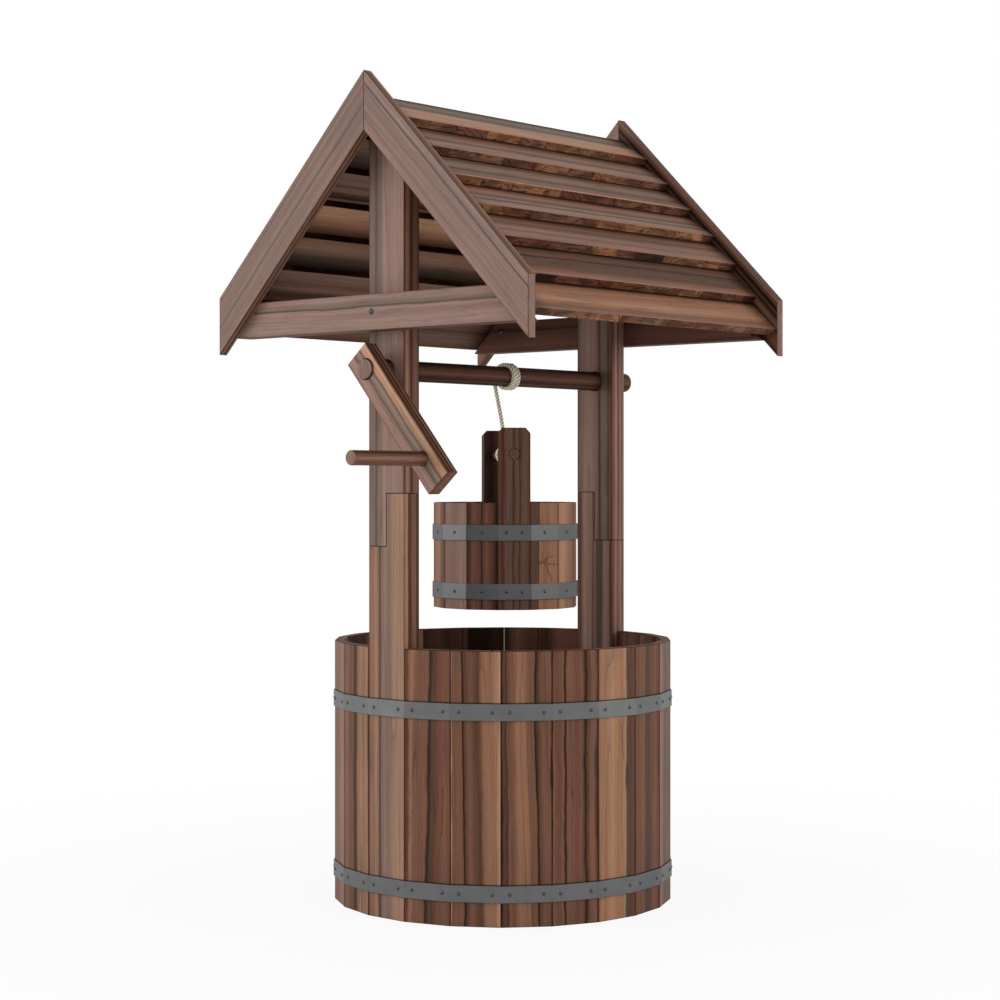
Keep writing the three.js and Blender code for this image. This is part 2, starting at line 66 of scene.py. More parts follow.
# Camera, level and turned as in the photograph
cameraValues = {
    "place": (-2.29705, -2.0823, 0.5911),
    "heading": -48.517,
    "lens": 79.16,
    "sensor": 36,
    "shiftAcross": -0.00015,
    "shiftUp": -0.019,
}
bpy.ops.object.select_all(action="DESELECT")
bpy.ops.object.camera_add(
    location=cameraValues["place"],
    rotation=(math.radians(90), 0, math.radians(cameraValues["heading"])),
)
camera = bpy.context.object
camera.name = "camera"
camera.data.lens = cameraValues["lens"]
camera.data.sensor_width = cameraValues["sensor"]
camera.data.shift_x = cameraValues["shiftAcross"]
camera.data.shift_y = cameraValues["shiftUp"]
scene.camera = camera

# Places that the CAD pieces give
hoopLow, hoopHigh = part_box("barrel_hoop_upper")
hoopTops = (hoopHigh.z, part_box("barrel_hoop_lower")[1].z)  # painted shadow lines run along them
wellAxis = (hoopLow.x + hoopHigh.x) / 2
shaftLow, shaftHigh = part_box("windlass_shaft")
shaftRise = (shaftLow.z + shaftHigh.z) / 2
barLow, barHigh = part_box("bucket_crossbar")
barPlace = (barLow + barHigh) / 2
barrelSides, bucketSides = 22, 14


def ringWays(angle):
    return Vector((math.cos(angle), math.sin(angle), 0)), Vector((-math.sin(angle), math.cos(angle), 0))


def pieceName(node):
    return node.replace("_", " ").title().replace(" ", "")


bucketTurn = math.radians(228.5)
barWay, barSide = ringWays(bucketTurn)

# Rope: twisted cord of three strands. The route is the one that the solids follow.
ropeValues = {
    "diameter": 0.005,
    "fullness": 1.1,  # of the strands' crowns against the plain cord
    "lay": 0.0147,  # length of one twist
    "strands": 3,
    "sides": 18,
    "step": 0.0006,
    "groove": 0.76,  # share of the radius left in the groove
    "windingRadius": 0.0168,
    "turnPitch": 0.0056,
    "turns": 3.25,
    "windingEnd": 0.0015,
    "anchorBend": 0.004,
    "shownFrom": 60,  # degrees round the shaft where the winding piece ends
    "hiddenTo": 205,  # degrees round the shaft that the hanging piece reaches up
    "hangingFullness": 1.2,
    "barTurns": 2,
    "barPitch": 0.0062,
    "barRadius": 0.0103,
    "approachRise": 0.0215,
    "tail": 0.008,
    "loopSteps": 72,
    "bendSteps": 8,
    "dropSteps": 12,
}


def turnPoint(turn):
    v = ropeValues
    angle = turn * fullTurn
    return Vector((
        wellAxis + v["windingEnd"] + v["turnPitch"] * turn,
        v["windingRadius"] * math.cos(angle),
        shaftRise + v["windingRadius"] * math.sin(angle),
    ))


def windingRoute():
    v = ropeValues
    bend = v["anchorBend"]
    top = turnPoint(v["turns"])
    bendMiddle = top + Vector((0, -bend, 0)) - wayZ * bend
    route = [bendMiddle + Vector((0, 0, -v["diameter"]))]
    for step in range(v["bendSteps"]):
        angle = math.pi - step / v["bendSteps"] * math.pi / 2
        route.append(bendMiddle + Vector((0, bend * math.cos(angle) + bend, bend * math.sin(angle))))
    last = v["shownFrom"] / 360
    steps = int((v["turns"] - last) * v["loopSteps"])
    route += [turnPoint(v["turns"] + (last - v["turns"]) * step / steps) for step in range(steps + 1)]
    return route


def smoothLine(points, steps):
    ends = [points[0] * 2 - points[1]] + points + [points[-1] * 2 - points[-2]]
    line = []
    for index in range(1, len(ends) - 2):
        a, b, c, d = ends[index - 1:index + 3]
        for step in range(steps):
            t = step / steps
            line.append((b * 2 + (c - a) * t + (a * 2 - b * 5 + c * 4 - d) * t ** 2
                         + (b * 3 - a - c * 3 + d) * t ** 3) / 2)
    return line + [points[-1]]


def hangingRoute():
    v = ropeValues
    top = turnPoint(0)
    start = top - wayZ * v["diameter"]
    beside = barPlace + barSide * v["barRadius"]
    approach = barPlace + wayZ * v["approachRise"]
    level = start - wayZ * v["diameter"]
    above = beside + wayZ * v["diameter"]
    drop = smoothLine([top, start, level, (level + approach) / 2, approach, above, beside], v["dropSteps"])
    first = v["hiddenTo"] / 360
    steps = int(first * v["loopSteps"])
    route = [turnPoint(first - first * step / steps) for step in range(steps)] + drop
    for step in range(1, v["barTurns"] * v["loopSteps"] + 1):
        turn = step / v["loopSteps"]
        angle = -turn * fullTurn
        route.append(barPlace + barSide * v["barRadius"] * math.cos(angle)
                     + wayZ * v["barRadius"] * math.sin(angle) - barWay * v["barPitch"] * turn)
    route.append(route[-1] - wayZ * v["tail"])
    return route


def evenPoints(route, step):
    points, spare = [route[0]], 0
    for a, b in zip(route, route[1:]):
        length = (b - a).length
        while spare + length >= step:
            share = (step - spare) / length
            a = a.lerp(b, share)
            length = (b - a).length
            spare = 0
            points.append(a)
        spare += length
    return points


def strandRadius(angle, groove):
    third = fullTurn / ropeValues["strands"]
    offset = abs((angle + third / 2) % third - third / 2) / third * 2
    return 1 - (1 - groove) * offset ** 3


def makeRope(name, route, radius, phase=0):
    v = ropeValues
    points = evenPoints(route, v["step"])
    sides = v["sides"]
    places, faces, grooves = [], [], []
    for row, point in enumerate(points):
        forward = (points[min(row + 1, len(points) - 1)] - points[max(row - 1, 0)]).normalized()
        across = (wayX - forward * forward.x).normalized()
        upward = forward.cross(across)
        twist = phase + row * v["step"] / v["lay"] * fullTurn
        for side in range(sides):
            angle = side / sides * fullTurn
            share = strandRadius(angle, v["groove"])
            grooves.append(((1 - share) / (1 - v["groove"])) ** (1 / 3))
            turned = angle + twist
            places.append(point + (across * math.cos(turned) + upward * math.sin(turned)) * radius * share)
    for row in range(len(points) - 1):
        for side in range(sides):
            beyond = (side + 1) % sides
            a, b = row * sides, (row + 1) * sides
            faces.append((a + side, a + beyond, b + beyond, b + side))
    faces.append(tuple(reversed(range(sides))))
    faces.append(tuple(range((len(points) - 1) * sides, len(points) * sides)))
    mesh = bpy.data.meshes.new(name)
    mesh.from_pydata(places, [], faces)
    layer = mesh.uv_layers.new(name="grain")
    for face in mesh.polygons:
        for corner, vertex in zip(face.loop_indices, face.vertices):
            row, side = divmod(vertex, sides)
            if side == 0 and len(face.vertices) == 4 and face.index % sides == sides - 1:
                side = sides
            layer.data[corner].uv = (row * v["step"], side / sides)
    groove = mesh.attributes.new("groove", "FLOAT", "POINT")
    groove.data.foreach_set("value", grooves)
    piece = bpy.data.objects.new(name, mesh)
    scene.collection.objects.link(piece)
    for face in mesh.polygons:
        face.use_smooth = True
    return piece, points


ropeRadius = ropeValues["diameter"] / 2
windingPiece, windingPoints = makeRope(
    "ropeOnShaft", windingRoute(), ropeRadius * ropeValues["fullness"])
windingLength = len(windingPoints) * ropeValues["step"]
turnLength = math.hypot(fullTurn * ropeValues["windingRadius"], ropeValues["turnPitch"])
overlap = turnLength * (ropeValues["hiddenTo"] - ropeValues["shownFrom"]) / 360
hangingPhase = (windingLength - overlap) / ropeValues["lay"] * fullTurn
hangingPiece, hangingPoints = makeRope(
    "ropeToBucket", hangingRoute(), ropeRadius * ropeValues["hangingFullness"], hangingPhase)
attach(windingPiece, "windlass")
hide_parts("rope_winding")
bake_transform(hangingPiece, "well", "hanging_rope",
         start=(barPlace.x, 0, shaftRise - ropeValues["diameter"]),
         end=(barPlace.x, 0, barPlace.z + ropeValues["approachRise"] / 2))
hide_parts("rope_hanging")

# Timber tones, as they show in plain light
tones = {
    "bright": (186, 148, 124),
    "honey": (160, 118, 86),
    "tan": (168, 132, 108),
    "clay": (152, 112, 89),
    "amber": (148, 104, 76),
    "rust": (108, 67, 49),
    "haze": (148, 122, 110),
    "pink": (140, 110, 98),
    "brown": (121, 87, 70),
    "red": (112, 72, 59),
    "umber": (92, 63, 49),
    "grey": (118, 102, 90),
    "slate": (85, 70, 59),
    "dark": (60, 38, 27),
    "black": (34, 16, 8),
    "seam": (50, 22, 11),
}


def linear(color):
    shares = [value / 255 for value in color]
    return [s / 12.92 if s <= 0.04045 else ((s + 0.055) / 1.055) ** 2.4 for s in shares] + [1]


# Node helpers. They add to the tree that newGroup or newMaterial made last.
def put(target, value):
    if isinstance(value, bpy.types.NodeSocket):
        tree.links.new(value, target)
    elif value is not None:
        target.default_value = value


def newNode(kind):
    return tree.nodes.new("ShaderNode" + kind)


def fill(node, values):
    for label, value in values.items():
        put(node.inputs[label], value)
    return node.outputs


def calc(operation, *values):
    node = newNode("Math")
    node.operation = operation
    return fill(node, dict(enumerate(values)))[0]


def vectorCalc(operation, *values):
    node = newNode("VectorMath")
    node.operation = operation
    return fill(node, dict(enumerate(values)))


def times(first, second, added=None):
    if added is None:
        return calc("MULTIPLY", first, second)
    return calc("MULTIPLY_ADD", first, second, added)


def minus(first, second):
    return calc("SUBTRACT", first, second)


def blended(factor, first, second, mode="MIX"):
    node = newNode("Mix")
    node.data_type = "RGBA"
    node.blend_type = mode
    return fill(node, {0: factor, 6: first, 7: second})[2]


def scaled(color, factor):
    return vectorCalc("SCALE", color, None, None, factor)[0]


def splitUp(vector):
    return fill(newNode("SeparateXYZ"), {0: vector})


def stretched(along, across, seed, alongScale, acrossScale):
    place = {0: times(along, alongScale), 1: times(across, acrossScale), 2: seed}
    return fill(newNode("CombineXYZ"), place)[0]


def noise(vector, detail=2, roughness=0.5, scale=1):
    values = {"Vector": vector, "Scale": scale, "Detail": detail, "Roughness": roughness}
    return fill(newNode("TexNoise"), values)[0]


def eased(value, low, high):
    node = newNode("MapRange")
    node.interpolation_type = "SMOOTHSTEP"
    return fill(node, {"Value": value, "From Min": low, "From Max": high})[0]


def ramp(value, stops, easing="LINEAR"):
    node = newNode("ValToRGB")
    node.color_ramp.interpolation = easing
    marks = node.color_ramp.elements
    for index, (place, color) in enumerate(stops):
        mark = marks[index] if index < 2 else marks.new(min(place, 1))
        mark.position = min(place, 1)
        mark.color = color
    put(node.inputs[0], value)
    return node.outputs[0]


def newGroup(name, inputs, outputs):
    global tree
    tree = bpy.data.node_groups.new(name, "ShaderNodeTree")
    for way, labels in (("INPUT", inputs), ("OUTPUT", outputs)):
        for words in labels.split():
            label, _, kind = words.partition(":")
            tree.interface.new_socket(name=label, in_out=way, socket_type="NodeSocket" + (kind or "Float"))
    given = tree.nodes.new("NodeGroupInput").outputs
    made = tree.nodes.new("NodeGroupOutput").inputs
    return tree, given, made


def useGroup(group, **values):
    node = newNode("Group")
    node.node_tree = group
    return fill(node, {label[0].upper() + label[1:]: value for label, value in values.items()})


grainNoises = {  # scale along, scale across, then detail and roughness
    "slow": (5, 14, 1),
    "quick": (26, 60),
    "streak": (5, 480, 3, 0.68),
    "fibre": (40, 2100),
    "cloud": (8, 22),
    "rings": (0.9, 30, 1),
    "pores": (75, 1500, 1),
    "curl": (34, 70, 1),
    "swirl": (55, 90, 1),
    "endGrain": (70, 320, 3, 0.7),
    "endRings": (14, 40, 0),
    "patches": (55, 160),
}


def grainNoise(name, along, across, seed):
    scales = grainNoises[name]
    return noise(stretched(along, across, seed, *scales[:2]), *scales[2:])


# How the figure wanders along a board and bends round a knot
leanMiddle = 0.18  # metres up a board, where a leaning figure stays in place
knotLength = 3.2  # along the board, in widths of the knot
figure, given, made = newGroup(
    "figure", "Grain:Vector Seed Wander KnotAlong KnotAcross KnotSize KnotPull Lean Width", "Across Knot")
along, across, _ = splitUp(given["Grain"])
slow = grainNoise("slow", along, across, given["Seed"])
quick = grainNoise("quick", along, across, given["Seed"])
sway = calc("ADD", minus(slow, 0.5), times(minus(quick, 0.5), 0.7))
moved = times(times(sway, 3), given["Wander"], across)
share = calc("DIVIDE", across, given["Width"])
window = calc("MAXIMUM", times(minus(1, share), times(share, 4)), 0)
leaning = times(minus(along, leanMiddle), given["Lean"])
moved = times(leaning, window, moved)
offAcross = minus(moved, given["KnotAcross"])
offAlong = minus(along, given["KnotAlong"])
nearAcross = calc("DIVIDE", offAcross, given["KnotSize"])
nearAlong = calc("DIVIDE", offAlong, times(given["KnotSize"], knotLength))
distance = calc("ADD", calc("POWER", nearAcross, 2), calc("POWER", nearAlong, 2))
bulge = calc("EXPONENT", times(distance, -1))
kept = minus(1, times(bulge, given["KnotPull"]))
put(made["Across"], times(offAcross, kept, given["KnotAcross"]))
core = calc("POWER", given["KnotPull"], 4)
put(made["Knot"], times(eased(distance, 0.12, 0.02), core))

# Grain, growth lines, pores, worn arrises, end grain and finger joints
knotTone = (0.034, 0.013, 0.008, 1)
swirlTone = (0.026, 0.01, 0.005, 1)
warmFilter = (1.1, 0.97, 0.88, 1)
jointFilter = (1.08, 0.96, 0.82, 1)
timber, given, made = newGroup(
    "timber",
    "Stripe:Color Grain:Vector Across Knot Rim Kind Seed Streaks Lines"
    " EdgeTone:Color EdgeShare EndTone:Color",
    "Color:Color Roughness Height",
)
along, plain, _ = splitUp(given["Grain"])
across, seed, kind = given["Across"], given["Seed"], given["Kind"]
streak = grainNoise("streak", along, across, seed)
fibre = grainNoise("fibre", along, across, seed)
cloud = grainNoise("cloud", along, across, seed)
ring = calc("FRACT", times(grainNoise("rings", along, across, seed), 11))
line = times(calc("POWER", ring, 6), given["Lines"])
pores = eased(grainNoise("pores", along, across, seed), 0.62, 0.74)
tint = times(minus(streak, 0.5), given["Streaks"], 1)
tint = times(minus(fibre, 0.5), 0.3, tint)
tint = times(minus(cloud, 0.5), 0.34, tint)
tint = times(line, -0.34, tint)
tint = times(pores, -0.16, tint)
side = scaled(given["Stripe"], tint)
warm = blended(cloud, side, blended(1, side, warmFilter, "MULTIPLY"))
side = blended(times(given["Knot"], 0.9), warm, knotTone)


def blockCells(feature, place):
    node = newNode("TexVoronoi")
    node.voronoi_dimensions = "1D"
    node.feature = feature
    return fill(node, {"W": place, "Scale": 1})


# Finger joints along the edges of the slats
blockStops = ((0, "dark"), (0.12, "rust"), (0.3, "red"), (0.46, "brown"), (0.72, "amber"), (0.95, "honey"))
blockPlace = times(along, 17, seed)
block = splitUp(blockCells("F1", blockPlace)["Color"])
blockTone = ramp(block[0], [(share, linear(tones[tone])) for share, tone in blockStops], "CONSTANT")
blockSeam = eased(blockCells("DISTANCE_TO_EDGE", blockPlace)["Distance"], 0.05, 0)
slope = times(minus(block[1], 0.5), 1.4)
blockSeed = times(block[2], 40, seed)
curl = grainNoise("curl", along, plain, blockSeed)
diagonal = times(along, slope, plain)
wave = times(diagonal, 130, times(curl, 3.2))
swirlLine = calc("ABSOLUTE", minus(calc("FRACT", wave), 0.5))
shown = grainNoise("swirl", along, plain, calc("ADD", blockSeed, 7))
swirlShare = times(eased(swirlLine, 0.17, 0.04), eased(shown, 0.42, 0.56))
bright = eased(curl, 0.38, 0.6)
jointTint = times(times(bright, 0.55, 0.56), tint)
jointTint = times(blockSeam, -0.25, jointTint)
joint = blended(1, scaled(blockTone, jointTint), jointFilter, "MULTIPLY")
joint = blended(times(swirlShare, 0.9), joint, swirlTone)
# Painted shade: the up-slope edge face of a slat (kind 3), which sits under the slat above, darkened to
# under a third
joint = scaled(joint, times(calc("GREATER_THAN", kind, 2.5), -0.72, 1))
isJoint = calc("GREATER_THAN", kind, 1.5)

# End grain
grainEnd = grainNoise("endGrain", along, plain, seed)
endRings = calc("FRACT", times(grainNoise("endRings", along, plain, seed), 16))
endTint = times(grainEnd, 0.9, times(endRings, -0.3, 0.7))
endColor = scaled(blended(0.7, given["Stripe"], given["EndTone"]), endTint)
isEnd = times(calc("GREATER_THAN", kind, 0.5), calc("LESS_THAN", kind, 1.5))

# The three together, with worn arrises
color = blended(isEnd, blended(isJoint, side, joint), endColor)
patchy = eased(grainNoise("patches", along, plain, seed), 0.3, 0.62)
edge = times(times(given["Rim"], times(patchy, 0.4, 0.6)), given["EdgeShare"])
put(made["Color"], blended(edge, color, given["EdgeTone"]))
rough = times(streak, 0.16, times(pores, 0.12, 0.5))
put(made["Roughness"], times(isEnd, 0.15, rough))
relief = times(streak, 0.9, times(fibre, 0.45))
relief = times(pores, -0.7, times(line, -0.3, relief))
put(made["Height"], times(times(isEnd, grainEnd), 1.2, relief))
print("Timber groups made")


def newMaterial(name):
    global tree
    material = bpy.data.materials.new(name)
    material.use_nodes = True
    tree = material.node_tree
    return material, tree.nodes["Principled BSDF"]


def mixShaders(share, first, second, output):
    put(output, fill(newNode("MixShader"), {0: share, 1: first, 2: second})[0])


def attribute(name):
    node = newNode("Attribute")
    node.attribute_name = name
    return node.outputs["Fac"]


def uvMap():
    node = newNode("UVMap")
    node.uv_map = "grain"
    return node.outputs[0]


def bumped(shader, height, distance, strength=0.7):
    bump = fill(newNode("Bump"), {"Distance": distance, "Strength": strength, "Height": height})
    put(shader.inputs["Normal"], bump[0])


def strokes(grain, marks):
    shade = 0
    for alongA, acrossA, alongB, acrossB, width in marks:  # millimetres, start and end of each dark check
        start = Vector((alongA, acrossA, 0)) / 1000
        way = Vector((alongB, acrossB, 0)) / 1000 - start
        offset = vectorCalc("SUBTRACT", grain, start)[0]
        share = vectorCalc("DOT_PRODUCT", offset, way / way.length_squared)[1]
        kept = calc("MINIMUM", calc("MAXIMUM", share, 0), 1)
        gap = vectorCalc("DISTANCE", offset, scaled(way, kept))[1]
        shade = calc("MAXIMUM", shade, eased(gap, width / 1000, 0))
    return shade


def readStripes(words):
    parts = words.split()
    return [(float(share) / 100, tone) for tone, share in zip(parts[::2], parts[1::2])]


looseTones = "brown brown umber red pink clay slate dark umber tan".split()


def looseStripes(rng, most):
    stripes, share = [], 0
    while share < 0.9 and len(stripes) < most:
        stripes.append((share, rng.choice(looseTones)))
        share += rng.uniform(0.08, 0.26)
    return stripes


timberValues = {
    "gloss": 0.12,
    "relief": 0.00025,
    "mostStops": 32,  # a colour ramp holds no more
    "waver": 0.006,  # of the dark checks
    "waverScale": 240,
    "shadeLineReach": 0.0021,  # from the painted shadow line along a hoop's top, and its dark middle
    "shadeLineMiddle": 0.0009,
    "shadeLineDark": 0.75,
    "endShadeReach": 0.04,  # how far the painted shade at a board's ends reaches
    "endShadeMiddle": 0.002,
}


def timberMaterial(piece, faces, wander=0.0011, knot=None, streaks=0.75, lines=0.8, paintedFaceLight=(),
                   warmth=0, edge=("dark", 0.5), end="umber", lean=0, marks=(), paintedEndShade=0,
                   hoopShadeLevels=()):
    rng = random.Random(piece.name)
    width, thickness = piece["width"], piece["thickness"]
    perimeter = 2 * (width + thickness)
    given = [readStripes(faces[index]) if index < len(faces) else [] for index in range(4)]
    stripes = [given[index] or looseStripes(rng, 3 if index % 2 else 6) for index in range(4)]
    for index in range(4):
        if not given[index]:  # a face left open runs on from its neighbours
            if index:
                stripes[index][0] = (0, stripes[index - 1][-1][1])
            stripes[index].append((0.99, stripes[(index + 1) % 4][0][1]))
    stops, place = [], 0
    for index, span in enumerate((width, thickness, width, thickness)):
        # paintedFaceLight scales the brightness of single faces for how light falls on them: painted light
        # and shade
        light = paintedFaceLight[index] if index < len(paintedFaceLight) else 1
        for share, tone in stripes[index]:
            red, green, blue, _ = linear(tones[tone])
            color = (red * light * (1 + warmth), green * light, blue * light * (1 - warmth), 1)
            stops.append(((place + share * span) / perimeter, color))
        place += span
    v = timberValues
    material, shader = newMaterial(piece.name + "Timber")
    grain = uvMap()
    seed = rng.uniform(0, 90)
    along, across, size, pull = knot if knot else (0, 0, 1, 0)
    bent = useGroup(figure, grain=grain, seed=seed, wander=wander, knotAlong=along, knotAcross=across,
                    knotSize=size, knotPull=pull, lean=lean, width=width)
    dark = bent["Knot"]
    if marks:
        wavering = noise(grain, scale=v["waverScale"])
        reach = Vector((v["waver"], v["waver"], 0))
        bend = vectorCalc("MULTIPLY_ADD", wavering.node.outputs["Color"], reach, grain)[0]
        drawn = strokes(vectorCalc("ADD", bend, reach / -2)[0], marks)
        dark = calc("MAXIMUM", dark, times(drawn, times(wavering, 0.9, 0.1)))
    stripe = ramp(calc("DIVIDE", bent["Across"], perimeter), stops[:v["mostStops"]])
    look = useGroup(timber, stripe=stripe, grain=grain, across=bent["Across"], knot=dark,
                    rim=attribute("rim"), kind=attribute("kind"), seed=seed, streaks=streaks, lines=lines,
                    edgeTone=linear(tones[edge[0]]), edgeShare=edge[1], endTone=linear(tones[end]))
    color = look["Color"]
    along, plain, _ = splitUp(grain)
    # Painted shadow: a dark line on the wood along the top of each hoop
    for level in hoopShadeLevels:
        near = calc("ABSOLUTE", minus(along, level))
        line = times(eased(near, v["shadeLineReach"], v["shadeLineMiddle"]), calc("LESS_THAN", plain, width))
        color = scaled(color, times(line, -v["shadeLineDark"], 1))
    # Painted shade: darker towards both ends of a board, where it meets the boards it butts on
    if paintedEndShade:
        fromEnd = calc("MINIMUM", along, minus(piece["length"], along))
        color = scaled(color, times(eased(fromEnd, v["endShadeReach"], v["endShadeMiddle"]), -paintedEndShade, 1))
    fill(shader, {"Base Color": color, "Roughness": look["Roughness"], "Specular IOR Level": v["gloss"]})
    bumped(shader, look["Height"], v["relief"])
    piece.data.materials.clear()
    piece.data.materials.append(material)


# Shaping boards from copies of the CAD solids
boardValues = {
    "arris": 0.0005,  # rounding of the edges
    "rim": 0.0003,  # worn or dirty band beside them
    "leastFace": 0.00012,  # square metres, smaller faces get no band
    "merge": 0.00002,
    "flatness": 0.99995,  # cosine between the normals of one flat face
    "sharp": 25,  # degrees at an edge that is rounded
    "smooth": 50,
}


def onlySelect(piece):
    bpy.ops.object.select_all(action="DESELECT")
    piece.select_set(True)
    bpy.context.view_layer.objects.active = piece


def editAll(piece):
    onlySelect(piece)
    bpy.ops.object.mode_set(mode="EDIT")
    bpy.ops.mesh.select_all(action="SELECT")


def copyOf(node, name, splits=()):
    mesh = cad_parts[node].data.copy()
    mesh.materials.clear()
    piece = bpy.data.objects.new(name, mesh)
    scene.collection.objects.link(piece)
    onlySelect(piece)
    if mesh.has_custom_normals:
        bpy.ops.mesh.customdata_custom_splitnormals_clear()
    editAll(piece)
    bpy.ops.mesh.remove_doubles(threshold=boardValues["merge"])
    for point, normal in splits:  # faces are parted through their bores
        bpy.ops.mesh.select_all(action="SELECT")
        bpy.ops.mesh.bisect(plane_co=point, plane_no=normal)
        bpy.ops.mesh.mark_seam(clear=False)
    bpy.ops.mesh.select_all(action="SELECT")
    bpy.ops.mesh.dissolve_limited(angle_limit=math.radians(1), delimit={"SEAM"})
    bpy.ops.mesh.mark_seam(clear=True)
    bpy.ops.object.mode_set(mode="OBJECT")
    return piece


def closeGap(piece, way, level, shift, reach=0.0006):
    for vertex in piece.data.vertices:
        if abs(vertex.co.dot(way) - level) < reach:
            vertex.co += way * shift


def cutOff(piece, point, normal):
    editAll(piece)
    bpy.ops.mesh.bisect(plane_co=point, plane_no=normal, use_fill=True, clear_outer=True)
    bpy.ops.object.mode_set(mode="OBJECT")


def softenEdges(piece, width=boardValues["arris"], bands=True, band=boardValues["rim"]):
    onlySelect(piece)
    mesh = piece.data
    flats = []
    for face in mesh.polygons:
        if not any(face.normal.dot(normal) > boardValues["flatness"] for normal in flats):
            flats.append(face.normal.copy())
    bpy.ops.object.mode_set(mode="EDIT")
    bpy.ops.mesh.select_mode(type="EDGE")
    bpy.ops.mesh.select_all(action="DESELECT")
    bpy.ops.mesh.edges_select_sharp(sharpness=math.radians(boardValues["sharp"]))
    bpy.ops.mesh.bevel(offset=width, offset_type="OFFSET", segments=2, profile=0.5, affect="EDGES")
    bpy.ops.mesh.select_mode(type="FACE")
    shape = bmesh.from_edit_mesh(mesh)
    rim = shape.verts.layers.float.new("rim")
    for vertex in shape.verts:
        vertex[rim] = 1
    for normal in flats if bands else ():
        shape = bmesh.from_edit_mesh(mesh)
        rim = shape.verts.layers.float["rim"]
        area = 0
        for face in shape.faces:
            face.select_set(False)
        for face in shape.faces:
            if face.normal.dot(normal) > boardValues["flatness"] and all(v[rim] for v in face.verts):
                face.select_set(True)
                area += face.calc_area()
        if area > boardValues["leastFace"]:
            bmesh.update_edit_mesh(mesh)
            bpy.ops.mesh.inset(thickness=band, use_boundary=True, use_even_offset=True)
            shape = bmesh.from_edit_mesh(mesh)
            rim = shape.verts.layers.float["rim"]
            for face in shape.faces:
                if face.select:
                    for vertex in face.verts:
                        vertex[rim] = 0
            bmesh.update_edit_mesh(mesh)
    bpy.ops.object.mode_set(mode="OBJECT")
    bpy.ops.object.shade_smooth_by_angle(angle=math.radians(boardValues["smooth"]))


def openGrain(piece):
    shape = bmesh.new()
    shape.from_mesh(piece.data)
    shape.loops.layers.uv.new("grain")
    kind = shape.loops.layers.float.new("kind")
    return shape, shape.loops.layers.uv["grain"], kind


def mapGrain(piece, alongWay, acrossWay, outWay, jointFace=False):
    ways = (alongWay, acrossWay, outWay)
    spans = []
    for way in ways:
        reach = [vertex.co.dot(way) for vertex in piece.data.vertices]
        spans.append((min(reach), max(reach)))
    width, thickness = (high - low for low, high in spans[1:])
    shape, grain, kind = openGrain(piece)
    for face in shape.faces:
        facing = [face.normal.dot(way) for way in ways]
        strongest = max(range(3), key=lambda index: abs(facing[index]))
        for corner in face.loops:
            along, across, out = (corner.vert.co.dot(way) - low for way, (low, _) in zip(ways, spans))
            corner[kind] = 0
            if strongest == 0:
                corner[grain].uv = (across, out)
                corner[kind] = 1
            elif strongest == 1 and facing[1] > 0:
                corner[grain].uv = (along, width + thickness - out)
                corner[kind] = 2 if jointFace else 0
            elif strongest == 1:
                corner[grain].uv = (along, 2 * width + thickness + out)
                corner[kind] = 3 if jointFace else 0
            elif facing[2] > 0:
                corner[grain].uv = (along, across)
            else:
                corner[grain].uv = (along, 2 * width + thickness - across)
    shape.to_mesh(piece.data)
    shape.free()
    piece["width"], piece["thickness"], piece["length"] = width, thickness, spans[0][1] - spans[0][0]


def mapRound(piece, axis, middle):
    ahead = wayZ if abs(axis.z) < 0.5 else wayX
    sideWay = axis.cross(ahead).normalized()
    upWay = sideWay.cross(axis).normalized()
    offsets = [vertex.co - middle for vertex in piece.data.vertices]
    radius = max((offset - axis * offset.dot(axis)).length for offset in offsets)
    start = min(offset.dot(axis) for offset in offsets)
    shape, grain, kind = openGrain(piece)
    for face in shape.faces:
        isEnd = abs(face.normal.dot(axis)) > 0.8
        centre = face.calc_center_median() - middle
        faceAngle = math.atan2(centre.dot(sideWay), centre.dot(upWay))
        for corner in face.loops:
            offset = corner.vert.co - middle
            if isEnd:
                corner[grain].uv = (offset.dot(upWay), offset.dot(sideWay))
                corner[kind] = 1
            else:
                angle = math.atan2(offset.dot(sideWay), offset.dot(upWay))
                angle += fullTurn * round((faceAngle - angle) / fullTurn)
                corner[grain].uv = (offset.dot(axis) - start, (angle + math.pi) * radius)
                corner[kind] = 0
    shape.to_mesh(piece.data)
    shape.free()
    piece["width"], piece["thickness"] = math.pi * radius, 0.0001


def placePiece(piece, body, slotName, *nodes):
    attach(piece, body)
    if nodes:
        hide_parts(*nodes)


def makeBoard(node, name, ways, body="well", slotName="barrel_wood", arris=boardValues["arris"],
              band=boardValues["rim"], jointFace=False, splits=(), closing=()):
    piece = copyOf(node, name, splits)
    for gap in closing:
        closeGap(piece, *gap)
    softenEdges(piece, arris, band=band)
    mapGrain(piece, *ways, jointFace=jointFace)
    placePiece(piece, body, slotName, node)
    return piece


def finishPlain(board, ways, body, slotName, node):
    softenEdges(board, bands=False)
    mapGrain(board, *ways)
    placePiece(board, body, slotName, node)
    timberMaterial(board, ())


